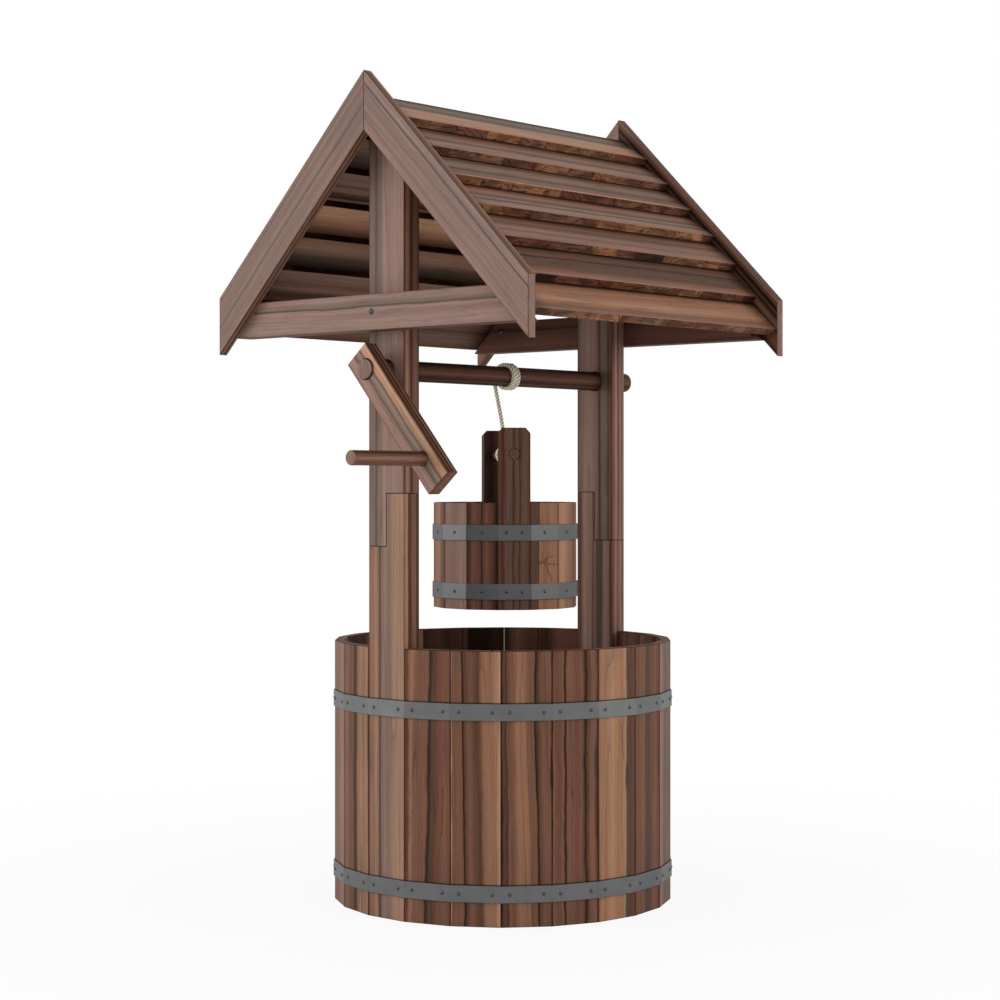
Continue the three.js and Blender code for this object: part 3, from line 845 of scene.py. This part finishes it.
# Barrel staves: stripes of the outer face from left to right, then of the inner face
staveStripes = {
    # Inner faces of staves 1 to 4, seen across the barrel: dark and black tones, partly the wood and partly
    # painted shade inside the barrel
    1: ("", "", "dark 0 dark 10 red 30 red 100"),
    2: ("", "",
        "dark 0 dark 12 umber 20 brown 35 umber 60 umber 78 black 81 umber 84 dark 90 umber 94"
        " black 100"),
    3: ("", "", "umber 0 umber 14 black 18 black 60 dark 80 black 100"),
    4: ("", "", "dark 0 umber 40 dark 60 umber 90 dark 100"),
    9: ("pink 0 haze 30 pink 48 tan 60 tan 88 brown 100",),
    10: ("brown 0 pink 10 brown 20 brown 37 umber 39 dark 41 slate 47 umber 50 clay 54 tan 66 clay 80"
         " tan 92 dark 100",),
    11: ("umber 0 umber 6 brown 9 clay 14 brown 22 brown 47 dark 49 dark 53 slate 58 umber 64 red 72"
         " brown 88 red 100",),
    12: ("bright 0 tan 2 brown 5 brown 24 dark 25 black 26 dark 27.5 umber 29.5 brown 38 umber 58"
         " brown 62 clay 66 clay 88 tan 94 bright 98 tan 100",),
    13: ("black 0 dark 2 umber 4 umber 9 dark 10.5 umber 12 brown 15 brown 24 clay 34 clay 48 brown 58"
         " brown 68 dark 69.5 black 70.5 dark 72 umber 74 brown 84 brown 98 black 99.5",),
    14: ("dark 0 brown 2 red 12 brown 25 dark 27 black 28.5 dark 30 brown 32 brown 42 red 54 brown 62"
         " umber 68 dark 70 black 71.5 dark 73 umber 76 brown 84 brown 92 umber 97 dark 100",),
    15: ("umber 0 pink 4 honey 10 clay 22 tan 38 honey 52 clay 66 tan 75 slate 77 slate 86 umber 90"
         " red 96 dark 100",),
    16: ("dark 0 red 3 brown 20 brown 38 slate 44 slate 57 red 63 brown 80 red 94 dark 100",),
    17: ("haze 0 tan 12 haze 22 grey 50 pink 75 grey 100",),
}
staveWander = {12: 0.002, 13: 0.0022, 14: 0.0028, 11: 0.0024}
staveLean = {11: -0.02, 12: 0.018, 13: 0.018}
# Painted light and shade: outer faces of some staves darker for how light falls at the barrel's sides
stavePaintedLight = {9: (0.62,), 10: (0.78,), 16: (0.92,), 17: (0.72,)}
staveKnots = {15: (0.188, 0.0545, 0.0065, 0.7), 14: (0.176, 0.03, 0.004, 0.85)}
staveMarks = {
    15: ((248, 44, 228, 44.5, 1.2), (228, 44.5, 213, 47.6, 1.4)),
    13: ((186, 4, 86, 8.5, 1.4),),
    14: ((240, 8, 205, 10.5, 1.2), (205, 10.5, 150, 8.5, 1.2), (230, 52, 200, 50, 1.1),
         (200, 50, 182, 53, 1.2)),
    11: ((185, 58, 120, 56.5, 1.3), (230, 17, 170, 9, 1.2), (150, 12, 90, 4, 1.2)),
}
staveValues = {
    "mitre": 0.0145,  # reach of a mitred side from the stave's edge
    "closing": 0.0002,  # left open at one stave, where the photograph shows light through the joint
    "openStave": 3,
    "band": 0.0006,
    "wander": 0.0016,
}
for number in range(1, 21):
    index = number if number < barrelSides / 2 else number + 1  # the posts take two places
    outWay, acrossWay = ringWays(index * fullTurn / barrelSides)
    node = "barrel_stave_%02d" % number
    level = min(vertex.co.dot(acrossWay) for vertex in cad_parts[node].data.vertices)
    closing = [(acrossWay, level, -staveValues["closing"], staveValues["mitre"])]
    stave = makeBoard(node, "stave%02d" % number, (wayZ, acrossWay, outWay), band=staveValues["band"],
                      closing=() if number == staveValues["openStave"] else closing)
    timberMaterial(stave, staveStripes.get(number, ()), staveWander.get(number, staveValues["wander"]),
                   staveKnots.get(number), edge=("seam", 1.5), lean=staveLean.get(number, 0),
                   paintedFaceLight=stavePaintedLight.get(number, ()), marks=staveMarks.get(number, ()), hoopShadeLevels=hoopTops)
print("Barrel staves made")

# Posts, each of two pieces in a half lap: the face to the left, then the side that shows
postStripes = {
    "post_near_lower": ("brown 0 clay 5 clay 14 tan 20 pink 27 brown 30 dark 31.5 brown 33 pink 36"
                        " haze 44 pink 56 haze 64 tan 71 tan 98",
                        "clay 0 clay 22 dark 30 umber 50 brown 58 red 66 brown 78 dark 84 umber 100"),
    "post_near_upper": ("umber 0 grey 4 grey 16 umber 21 grey 26 grey 34 haze 44 pink 58 haze 75"
                        " pink 96 brown 100",
                        "dark 0 brown 6 clay 20 brown 36 dark 45 dark 50 red 58 brown 80 umber 94"
                        " dark 100"),
    "post_far_lower": ("umber 0 umber 10 pink 16 haze 22 pink 28 pink 40 umber 46 pink 50 slate 56"
                       " slate 70 haze 78 pink 90 umber 94 red 100",
                       "red 0 umber 15 pink 35 red 48 brown 60 clay 74 red 84 grey 95 haze 100"),
    "post_far_upper": ("slate 0 grey 6 pink 12 haze 30 pink 55 umber 64 dark 66 grey 69 grey 84"
                       " slate 88 red 91 umber 93 brown 97 umber 100",
                       "umber 0 red 12 brown 25 haze 34 pink 42 umber 50 red 58 pink 68 clay 74 red 80"
                       " grey 90 haze 100"),
}
# Painted light and shade: front and side of each post lighter or darker as light falls on them
postPaintedLight = {
    "post_near_lower": (0.85, 1.25),
    "post_near_upper": (1.08, 1.22),
    "post_far_lower": (1.15, 1.1),
    "post_far_upper": (1.1, 1.1),
}
lapLevels = [max(vertex.co.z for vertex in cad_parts["post_near_lower"].data.vertices),
             min(vertex.co.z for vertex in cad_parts["post_near_upper"].data.vertices)]
postValues = {
    "arris": 0.0003,
    "band": 0.0006,
    "closing": 0.00025,  # of the shoulders of the half lap
}
for node, stripes in postStripes.items():
    closing = []
    if "upper" in node:  # its shoulders come down on the lower piece
        closing = [(wayZ, level, -postValues["closing"]) for level in lapLevels]
    post = makeBoard(node, pieceName(node), (wayZ, -wayY, -wayX), slotName="post_wood",
                     arris=postValues["arris"], band=postValues["band"],
                     splits=[((0, 0, shaftRise), wayZ)], closing=closing)
    timberMaterial(post, stripes, 0.0008, paintedFaceLight=postPaintedLight[node], warmth=-0.04, edge=("seam", 1.3),
                   hoopShadeLevels=hoopTops if "lower" in node else ())
print("Posts made")

# Gables: ties and bargeboards, the top edge first
gableStripes = {
    "tie_near": ("pink 0 haze 10 pink 20 grey 28 slate 34 haze 38 pink 55 haze 72 haze 88 pink 100",
                 "pink 0 umber 20 red 100"),
    "tie_far": ("umber 0 umber 20 dark 30 umber 40 red 80 umber 100", "umber 0 red 100",
                "umber 0 brown 5 dark 8 black 9.5 brown 12 brown 16 dark 19 black 20.5 red 24 umber 50"
                " red 75 umber 100"),
    "bargeboard_near_left": ("pink 0 haze 5 grey 10 haze 16 pink 30 haze 44 grey 54 haze 60 pink 74"
                             " haze 88 pink 100",
                             "dark 0 umber 10 clay 30 brown 50 dark 62 brown 72 clay 88 umber 100", "",
                             "red 0 brown 50 pink 100"),
    "bargeboard_near_right": ("haze 0 haze 16 grey 19 slate 22 haze 25 pink 45 haze 60 pink 78 haze 90"
                              " pink 100", "umber 0 red 50 umber 100", "",
                              "pink 0 brown 30 umber 50 red 70 dark 88 umber 100"),
    "bargeboard_far_left": ("pink 0 haze 30 pink 60 brown 100", "umber 0 red 100"),
    "bargeboard_far_right": ("pink 0 clay 3 brown 5 rust 8 rust 10 umber 12 black 16 black 19 dark 22"
                             " umber 26 dark 29 black 33 umber 38 brown 46 umber 52 black 58 umber 64"
                             " red 80 dark 100", "umber 0 red 100",
                             # The third face: dark and black bands along the slat ends, partly grain and
                             # partly painted contact shadow
                             "red 0 umber 45 dark 56 umber 62 dark 70 black 76 red 81 umber 89 black 94"
                             " red 97 umber 100", "brown 0 pink 20 pink 80 brown 100"),
}
# Painted light and shade: faces of the gable boards darker as light falls on them
gablePaintedLight = {"bargeboard_near_left": (0.84,), "bargeboard_far_right": (0.96, 1, 0.8, 0.9)}
for node, stripes in gableStripes.items():
    if "left" in node or "right" in node:
        sideSign = 1 if "left" in node else -1
        ways = (Vector((0, sideSign, -1)).normalized(), Vector((0, -sideSign, -1)).normalized(), -wayX)
    else:
        ways = (-wayY, -wayZ, -wayX)
    board = makeBoard(node, pieceName(node), ways, slotName="gable_wood")
    timberMaterial(board, stripes, 0.0015 if node == "tie_near" else 0.0009, streaks=1, lines=0.45,
                   paintedFaceLight=gablePaintedLight.get(node, (0.96,)), warmth=-0.05, edge=("umber", 1.2), end="pink")
print("Gables made")

# Roof slats: the top face from its upper edge down, the finger-jointed front edge, then the underside
slatStripes = [
    "slate 12 grey 24 slate 42 haze 52 tan 62 haze 70 tan 84 clay 100",
    "slate 12 slate 18 brown 26 pink 50 slate 56 haze 75 pink 100",
    "brown 12 slate 18 grey 28 pink 50 slate 66 grey 80 brown 88 pink 94 bright 98 bright 100",
    "umber 12 brown 18 pink 34 slate 52 haze 60 slate 70 haze 82 pink 100",
    "dark 12 umber 16 brown 30 slate 40 pink 60 brown 72 pink 80 pink 100",
    "umber 12 slate 18 red 24 slate 34 black 37 umber 42 slate 62 umber 70 brown 84 pink 97",
    "brown 12 clay 20 clay 45 tan 60 clay 72 brown 84 pink 100",
]
# Undersides from the lower edge up: the grain's own tones, darker towards the lower edge as painted shade
# under the overlap
slatUndersides = [
    "slate 0 slate 30 grey 45 haze 100",
    "dark 0 slate 20 slate 40 grey 55 haze 100",
    "brown 0 tan 5 clay 10 dark 14 umber 19 slate 28 pink 36 pink 50 slate 56 pink 62 pink 80 haze 100",
    "umber 0 brown 24 clay 48 tan 70 tan 100",
    "dark 0 slate 22 slate 36 pink 52 tan 75 pink 100",
    "red 0 brown 12 umber 22 slate 30 pink 45 brown 60 pink 75 haze 100",
    "umber 0 brown 20 grey 35 brown 50 slate 60 brown 75 red 100",
]
slatTilts = (32.5, 33, 32.7, 33, 35.9, 42.5, 42.9)
# Painted light and shade: the slats' top faces darker, their undersides lighter or darker as light falls
slatPaintedLight = {(side, number): (0.86 if number == 1 else 0.79, 1, 0.88) for side in ("left", "right")
              for number in range(1, 8)}
slatPaintedLight["left", 4] = (0.79, 1, 1.25)
slatPaintedLight["left", 5] = (0.79, 1, 0.78)
for sideName, sideSign in (("left", 1), ("right", -1)):
    for number in range(1, 8):
        node = "roof_slat_%s_%d" % (sideName, number)
        tilt = math.radians(slatTilts[number - 1])
        downWay = Vector((0, sideSign * math.cos(tilt), -math.sin(tilt)))
        outWay = Vector((0, sideSign * math.sin(tilt), math.cos(tilt)))
        slat = makeBoard(node, "slat%s%d" % (sideName.title(), number), (wayX, downWay, outWay),
                         slotName="slat_wood", jointFace=True)
        order = number * 3 % 7 if sideName == "left" else number - 1  # the sides differ
        # The black band at the top of each top face is painted shadow from the slat above
        stripes = ("black 0 black 5 dark 8 " + slatStripes[order], "", slatUndersides[number - 1])
        timberMaterial(slat, stripes, 0.0012, streaks=1, lines=0.9,
                       paintedFaceLight=slatPaintedLight[sideName, number], warmth=0.05, edge=("clay", 0.25), paintedEndShade=0.5)
print("Roof slats made")


def makeRound(node, name, axis, middle, body, slotName):
    piece = copyOf(node, name)
    softenEdges(piece, bands=False)
    for mark in piece.data.attributes["rim"].data:
        mark.value = 0
    mapRound(piece, axis, middle)
    placePiece(piece, body, slotName, node)
    return piece


# Windlass
shaftMiddle = Vector((0, 0, shaftRise))
shaft = makeRound("windlass_shaft", "windlassShaft", wayX, shaftMiddle, "windlass", "turned_wood")
timberMaterial(shaft, ("dark 0 umber 20 red 40 umber 60 dark 75 umber 90", "",
                       "black 0 black 16 dark 28 umber 38 umber 46 red 53 umber 60 dark 68 umber 78"
                       " dark 86 black 97"),
               0.0008, edge=("black", 0.5), end="haze")
crankRest = math.radians(-40.8)  # as the solids stand
toeWay = Vector((0, math.sin(crankRest), -math.cos(crankRest)))
armAcross = Vector((0, -math.cos(crankRest), -math.sin(crankRest)))
handleLow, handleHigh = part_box("crank_handle")
handleMiddle = (handleLow + handleHigh) / 2
arm = makeBoard("crank_arm", "crankArm", (toeWay, armAcross, -wayX), "windlass", "crank_wood",
                splits=[(shaftMiddle, toeWay), (handleMiddle, toeWay)])
timberMaterial(arm, ("brown 0 pink 8 haze 22 pink 34 slate 41 grey 44 grey 50 haze 56 grey 64 slate 67"
                     " pink 70 tan 76 tan 84 bright 90 tan 96 umber 100",
                     "brown 0 dark 12 dark 28 brown 36 dark 44 dark 62 clay 70 umber 78 dark 88"
                     " brown 100"),
               0.0014, streaks=1.3, lines=0.6, paintedFaceLight=(1.08,), end="rust")
handle = makeRound("crank_handle", "crankHandle", wayX, handleMiddle, "windlass", "turned_wood")
timberMaterial(handle, ("red 0 rust 20 red 40 dark 60 slate 75 red 90", "",
                        "dark 0 umber 14 dark 26 umber 33 red 40 pink 52 red 66 brown 85 umber 100"),
               0.0008, end="haze")
print("Windlass made")

# Bucket: the stave halves parted into single staves
bucketStripes = {
    11: ("umber 0 clay 25 clay 60 umber 80 brown 90",),
    12: ("umber 0 brown 5 haze 12 pink 50 haze 80 pink 100",),
    13: ("dark 0 umber 9 brown 20 red 38 umber 45 black 48 umber 51 red 57 brown 64 red 72 umber 82"
         " dark 92 black 97",),
    1: ("umber 0 umber 10 slate 18 umber 26 dark 30 clay 33 amber 50 clay 80 clay 100",),
    2: ("brown 0 clay 6 tan 20 clay 60 brown 100",),
}
bucketMarks = {
    1: ((66.8, 22.6, 41.2, 35.3, 2.6), (66.8, 24, 63.4, 29.7, 2), (63.4, 29.7, 63, 40, 2.2),
        (63, 40, 62.3, 46, 1.6), (66.8, 22.6, 71, 19.6, 2), (71, 19.6, 79.6, 19, 1.8),
        (67.5, 23, 73.5, 27, 2), (73.5, 27, 79, 32.5, 1.8), (68.5, 24.5, 72.5, 30, 1.6),
        (72.5, 30, 74.3, 36, 1.6), (66.8, 22.6, 65.5, 12, 4)),
}
earStripes = ("umber 0 dark 16 umber 22 slate 32 slate 42 dark 47 umber 53 slate 62 dark 66 umber 72"
              " slate 80 umber 90 dark 98", "umber 0 dark 50 umber 100",
              "dark 0 black 30 dark 50 umber 70 dark 100")
bucketAxis = Vector((barPlace.x, 0, 0))
bucketStep = fullTurn / bucketSides
bucketValues = {
    "parting": 0.0001,
    "arris": 0.0004,
    "band": 0.00015,
    "bottomBoards": 3,
    "pegSwell": 0.0002,  # closes the ring of light round the pegs
}
oppositeEar = bucketSides // 2
for number in range(bucketSides):
    if number % oppositeEar == 0:  # the ears stand there
        continue
    node = "bucket_staves_right" if number < oppositeEar else "bucket_staves_left"
    angle = bucketTurn + number * bucketStep
    stave = copyOf(node, "bucketStave%02d" % number)
    for sign in (-1, 1):
        cutNormal = ringWays(angle + sign * bucketStep / 2)[1] * sign
        cutOff(stave, bucketAxis - cutNormal * bucketValues["parting"], cutNormal)
    softenEdges(stave, bucketValues["arris"], band=bucketValues["band"])
    outWay, acrossWay = ringWays(angle)
    mapGrain(stave, wayZ, acrossWay, outWay)
    placePiece(stave, "bucket", "bucket_wood", node)
    timberMaterial(stave, bucketStripes.get(number, ()), edge=("seam", 0.75),
                   marks=bucketMarks.get(number, ()))
for node, angle in (("bucket_ear_near", bucketTurn), ("bucket_ear_far", bucketTurn + math.pi)):
    outWay, acrossWay = ringWays(angle)
    ear = makeBoard(node, pieceName(node), (wayZ, acrossWay, outWay), "bucket", "bucket_wood",
                    splits=[(barPlace, wayZ)])
    timberMaterial(ear, earStripes, 0.0016, paintedFaceLight=(1.45, 1, 1.5), edge=("seam", 0.7))
bottomLow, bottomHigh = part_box("bucket_bottom")
bottomWidth = (bottomHigh.y - bottomLow.y) / bucketValues["bottomBoards"]
for index in range(bucketValues["bottomBoards"]):
    board = copyOf("bucket_bottom", "bucketBottom%d" % (index + 1))
    start = bottomLow.y + bottomWidth * index
    if index < bucketValues["bottomBoards"] - 1:
        cutOff(board, (0, start + bottomWidth - bucketValues["parting"], 0), wayY)
    if index:
        cutOff(board, (0, start + bucketValues["parting"], 0), -wayY)
    finishPlain(board, (wayX, wayY, -wayZ), "bucket", "bucket_wood", "bucket_bottom")
crossbar = makeRound("bucket_crossbar", "bucketCrossbar", barWay, barPlace, "bucket", "turned_wood")
for vertex in crossbar.data.vertices:
    offset = vertex.co - barPlace
    vertex.co += (offset - barWay * offset.dot(barWay)).normalized() * bucketValues["pegSwell"]
timberMaterial(crossbar, ("dark 0 umber 20 dark 60", "", "dark 0 umber 40 dark 100"), 0.0008, end="brown")
print("Bucket made")

# Floor of the barrel: six boards with open joints, let down over two battens
floorValues = {
    "boards": 6,
    "gap": 0.004,
    "underside": 0.038,
    "parting": 0.00005,
}
floorLow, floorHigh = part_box("planter_floor")
boardWidth = (floorHigh.y - floorLow.y + floorValues["gap"]) / floorValues["boards"]
underside = Vector((0, 0, floorValues["underside"]))
for index in range(floorValues["boards"]):
    board = copyOf("planter_floor", "floorBoard%d" % (index + 1))
    cutOff(board, underside + wayZ * floorValues["parting"], -wayZ)
    start = floorLow.y + boardWidth * index
    cutOff(board, (0, start + floorValues["parting"], 0), -wayY)
    cutOff(board, (0, start + boardWidth - floorValues["gap"] - floorValues["parting"], 0), wayY)
    finishPlain(board, (wayX, wayY, wayZ), "well", "barrel_wood", "planter_floor")
for index, side in enumerate((-wayX, wayX)):
    batten = copyOf("planter_floor", "floorBatten%d" % (index + 1))
    cutOff(batten, underside - wayZ * floorValues["parting"], wayZ)
    cutOff(batten, Vector((wellAxis, 0, 0)), -side)
    finishPlain(batten, (wayY, wayX, -wayZ), "well", "barrel_wood", "planter_floor")
print("Floor made")

# Steel hoops
hoopLooks = {"barrel": (0.158, 0.32, 0.85), "bucket": (0.118, 0.37, 0.9)}  # grey level, roughness, metallic
hoopEdge = 0.0003
steels = {}
for name, (level, dull, metallic) in hoopLooks.items():
    steels[name], shader = newMaterial(name + "HoopSteel")
    place = newNode("TexCoord").outputs["Object"]
    mottle = noise(place, detail=3, roughness=0.6, scale=38)
    fine = noise(place, detail=2, scale=420)
    tint = times(minus(mottle, 0.5), 0.35, times(fine, 0.12, 0.94))
    # Painted shade: the band along each edge of the steel darker
    grey = blended(attribute("rim"), (level, level, level * 1.01, 1), (level * 0.7,) * 3 + (1,))
    color = scaled(grey, tint)
    fill(shader, {"Base Color": color, "Roughness": times(mottle, 0.2, dull), "Metallic": metallic})
    bumped(shader, fine, 0.0001, 0.3)
for place, body in (("barrel", "well"), ("bucket", "bucket")):
    for level in ("lower", "upper"):
        node = "%s_hoop_%s" % (place, level)
        hoop = copyOf(node, place + "Hoop" + level.title())
        softenEdges(hoop, hoopEdge, band=hoopEdge)
        hoop.data.materials.append(steels[place])
        placePiece(hoop, body, "hoop_steel", node)
print("Hoops made")

# Nails of the hoops: one domed head, copied round
nailValues = {
    "radius": 0.0025,
    "rise": 0.0017,
    "barrelSpread": 0.0228,  # from the middle of a stave
    "earSpread": 0.011,
    "unevenness": 0.0005,
    "bucketReach": 0.1019,
}
darkSteel, shader = newMaterial("nailSteel")
place = newNode("TexCoord").outputs["Object"]
blotch = noise(place, detail=2, scale=900)
nailColor = scaled((0.075, 0.075, 0.077), calc("ADD", blotch, 0.5))
fill(shader, {"Base Color": nailColor, "Roughness": times(blotch, 0.3, 0.2), "Metallic": 0.8})
bumped(shader, blotch, 0.0002)


def addDome(name, radius, rise, segments=12):
    bpy.ops.object.select_all(action="DESELECT")
    bpy.ops.mesh.primitive_uv_sphere_add(segments=segments, ring_count=8, radius=radius)
    dome = bpy.context.object
    dome.name = name
    editAll(dome)
    bpy.ops.transform.resize(value=(1, 1, rise / radius))
    bpy.ops.mesh.bisect(plane_co=(0, 0, 0), plane_no=(0, 0, 1), use_fill=True, clear_inner=True)
    bpy.ops.object.mode_set(mode="OBJECT")
    bpy.ops.object.shade_smooth_by_angle(angle=math.radians(60))
    return dome


def copyTo(pattern, places, name):
    copies = []
    for place, outWay in places:
        mesh = pattern.data.copy()
        mesh.transform(Matrix.Translation(place) @ outWay.to_track_quat("Z", "Y").to_matrix().to_4x4())
        copy = bpy.data.objects.new(name, mesh)
        scene.collection.objects.link(copy)
        copies.append(copy)
    onlySelect(copies[0])
    for copy in copies:
        copy.select_set(True)
    bpy.ops.object.join()
    return bpy.context.object


rng = random.Random(12)
head = addDome("nailHead", nailValues["radius"], nailValues["rise"])
head.data.materials.append(darkSteel)
for place, body, sides, turn, axis in (
        ("barrel", "well", barrelSides, 0, Vector((wellAxis, 0, 0))),
        ("bucket", "bucket", bucketSides, bucketTurn, bucketAxis)):
    for level in ("lower", "upper"):
        low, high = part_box("%s_hoop_%s" % (place, level))
        reach = (high.x - low.x) / 2 if place == "barrel" else nailValues["bucketReach"]
        places = []
        for side in range(sides):
            outWay, acrossWay = ringWays(turn + side * fullTurn / sides)
            if place == "barrel":
                spreads = (-nailValues["barrelSpread"], nailValues["barrelSpread"])
            elif side % oppositeEar == 0:
                spreads = (-nailValues["earSpread"], nailValues["earSpread"])
            else:
                spreads = (0,)
            for spread in spreads:
                rise = (low.z + high.z) / 2 + rng.uniform(-1, 1) * nailValues["unevenness"]
                shifted = acrossWay * (spread + rng.uniform(-1, 1) * nailValues["unevenness"])
                places.append((axis + outWay * reach + shifted + wayZ * rise, outWay))
        nails = copyTo(head, places, "%sNails%s" % (place, level.title()))
        placePiece(nails, body, "hoop_steel")
bpy.data.objects.remove(head)
print("Nails made")

# Screws of the ties: pan heads with a cross recess
screwValues = {
    "radius": 0.0042,
    "rise": 0.0022,
    "middleRise": 0.8184,
    "endRise": 0.827,
    "endReach": 0.213,
    "slot": (0.0044, 0.001, 0.002),
}
head = addDome("screwHead", screwValues["radius"], screwValues["rise"], 24)
for turn in (0, math.pi / 2):
    bpy.ops.object.select_all(action="DESELECT")
    bpy.ops.mesh.primitive_cube_add(size=1, rotation=(0, 0, turn), scale=screwValues["slot"],
                                    location=(0, 0, screwValues["rise"]))
    slotCutter = bpy.context.object
    onlySelect(head)
    recess = head.modifiers.new("recess", "BOOLEAN")
    recess.operation = "DIFFERENCE"
    recess.object = slotCutter
    bpy.ops.object.modifier_apply(modifier="recess")
    bpy.data.objects.remove(slotCutter)
head.data.materials.append(darkSteel)
for place, sign in (("near", -1), ("far", 1)):
    low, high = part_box("tie_" + place)
    outside, inside = (low.x, high.x) if sign < 0 else (high.x, low.x)
    places = [(Vector((outside, 0, screwValues["middleRise"])), wayX * sign)]
    for endSign in (-1, 1):
        end = Vector((inside, endSign * screwValues["endReach"], screwValues["endRise"]))
        places.append((end, -wayX * sign))
    screws = copyTo(head, places, "tieScrews" + place.title())
    placePiece(screws, "well", "hoop_steel")
bpy.data.objects.remove(head)
print("Screws made")

# Rope fibre
ropeTones = {
    "cream": (246, 234, 200),
    "pale": (255, 252, 232),
    "groove": (48, 35, 16),
    "dust": (196, 178, 140),
}
fibreRope, shader = newMaterial("ropeFibre")
ropeAlong, ropeAcross, _ = splitUp(uvMap())
yarn = noise(stretched(ropeAlong, ropeAcross, 3, 500, 26), detail=2)
dust = noise(stretched(ropeAlong, ropeAcross, 8, 90, 3), detail=2)
groove = attribute("groove")
cream = blended(yarn, linear(ropeTones["cream"]), linear(ropeTones["pale"]))
# Painted shade: the grooves between the strands darkened towards near black
cream = blended(eased(groove, 0.66, 0.92), cream, linear(ropeTones["groove"]))
cream = blended(times(dust, 0.1), cream, linear(ropeTones["dust"]))
fill(shader, {"Base Color": cream, "Roughness": 0.85, "Specular IOR Level": 0.2})
bumped(shader, yarn, 0.0003)
for piece in (windingPiece, hangingPiece):
    piece.data.materials.append(fibreRope)

# Pale floor, white background and plain studio light
groundValues = {
    "radius": 14,
    "drop": 0.0005,
    "grey": 0.8,
    "dull": 0.9,
    "shadowInside": 0.35,  # metres from the middle, the shadow fades from there
    "shadowOutside": 1.5,
    "shadowShare": 0.11,
}
ground, shader = newMaterial("paleGround")
fill(shader, {"Base Color": (groundValues["grey"],) * 3 + (1,), "Roughness": groundValues["dull"]})
glow = fill(newNode("Emission"), {"Color": (1, 1, 1, 1)})
rays = newNode("LightPath").outputs
place = newNode("TexCoord").outputs["Object"]
fade = eased(vectorCalc("LENGTH", place)[1], groundValues["shadowInside"], groundValues["shadowOutside"])
cover = times(fade, groundValues["shadowShare"], 1 - groundValues["shadowShare"])
mixShaders(times(rays["Is Camera Ray"], cover), shader.outputs[0], glow[0],
           tree.nodes["Material Output"].inputs[0])
bpy.ops.object.select_all(action="DESELECT")
bpy.ops.mesh.primitive_circle_add(vertices=96, radius=groundValues["radius"], fill_type="NGON",
                                  location=(0, 0, -groundValues["drop"]))
groundPiece = bpy.context.object
groundPiece.name = "ground"
groundPiece.data.materials.append(ground)

world = bpy.data.worlds.new("studio")
scene.world = world
world.use_nodes = True
tree = world.node_tree
ambient = fill(tree.nodes["Background"], {"Color": (1, 1, 1, 1), "Strength": 0.66})
white = fill(newNode("Background"), {"Color": (1, 1, 1, 1), "Strength": 1})
rays = newNode("LightPath").outputs
seen = calc("MAXIMUM", rays["Is Camera Ray"], rays["Is Glossy Ray"])
mixShaders(calc("MAXIMUM", seen, rays["Is Transmission Ray"]), ambient[0], white[0],
           tree.nodes["World Output"].inputs[0])

lampValues = {  # compass angle round the well, distance, height, size, watts
    "lampLeft": (136, 2.6, 1.2, 1.5, 26),
    "lampRight": (300, 2.6, 1.2, 1.5, 18),
    "lampTop": (221, 0.9, 2.9, 1.8, 8),
}
lampAim = Vector((wellAxis, 0, 0.6))
for name, (turn, reach, rise, size, watts) in lampValues.items():
    angle = math.radians(turn)
    location = Vector((wellAxis + reach * math.cos(angle), reach * math.sin(angle), rise))
    bpy.ops.object.select_all(action="DESELECT")
    bpy.ops.object.light_add(type="AREA", location=location)
    lamp = bpy.context.object
    lamp.name = name
    lamp.data.size = size
    lamp.data.energy = watts
    lamp.rotation_euler = (location - lampAim).to_track_quat("Z", "Y").to_euler()
print("Ground and light made")
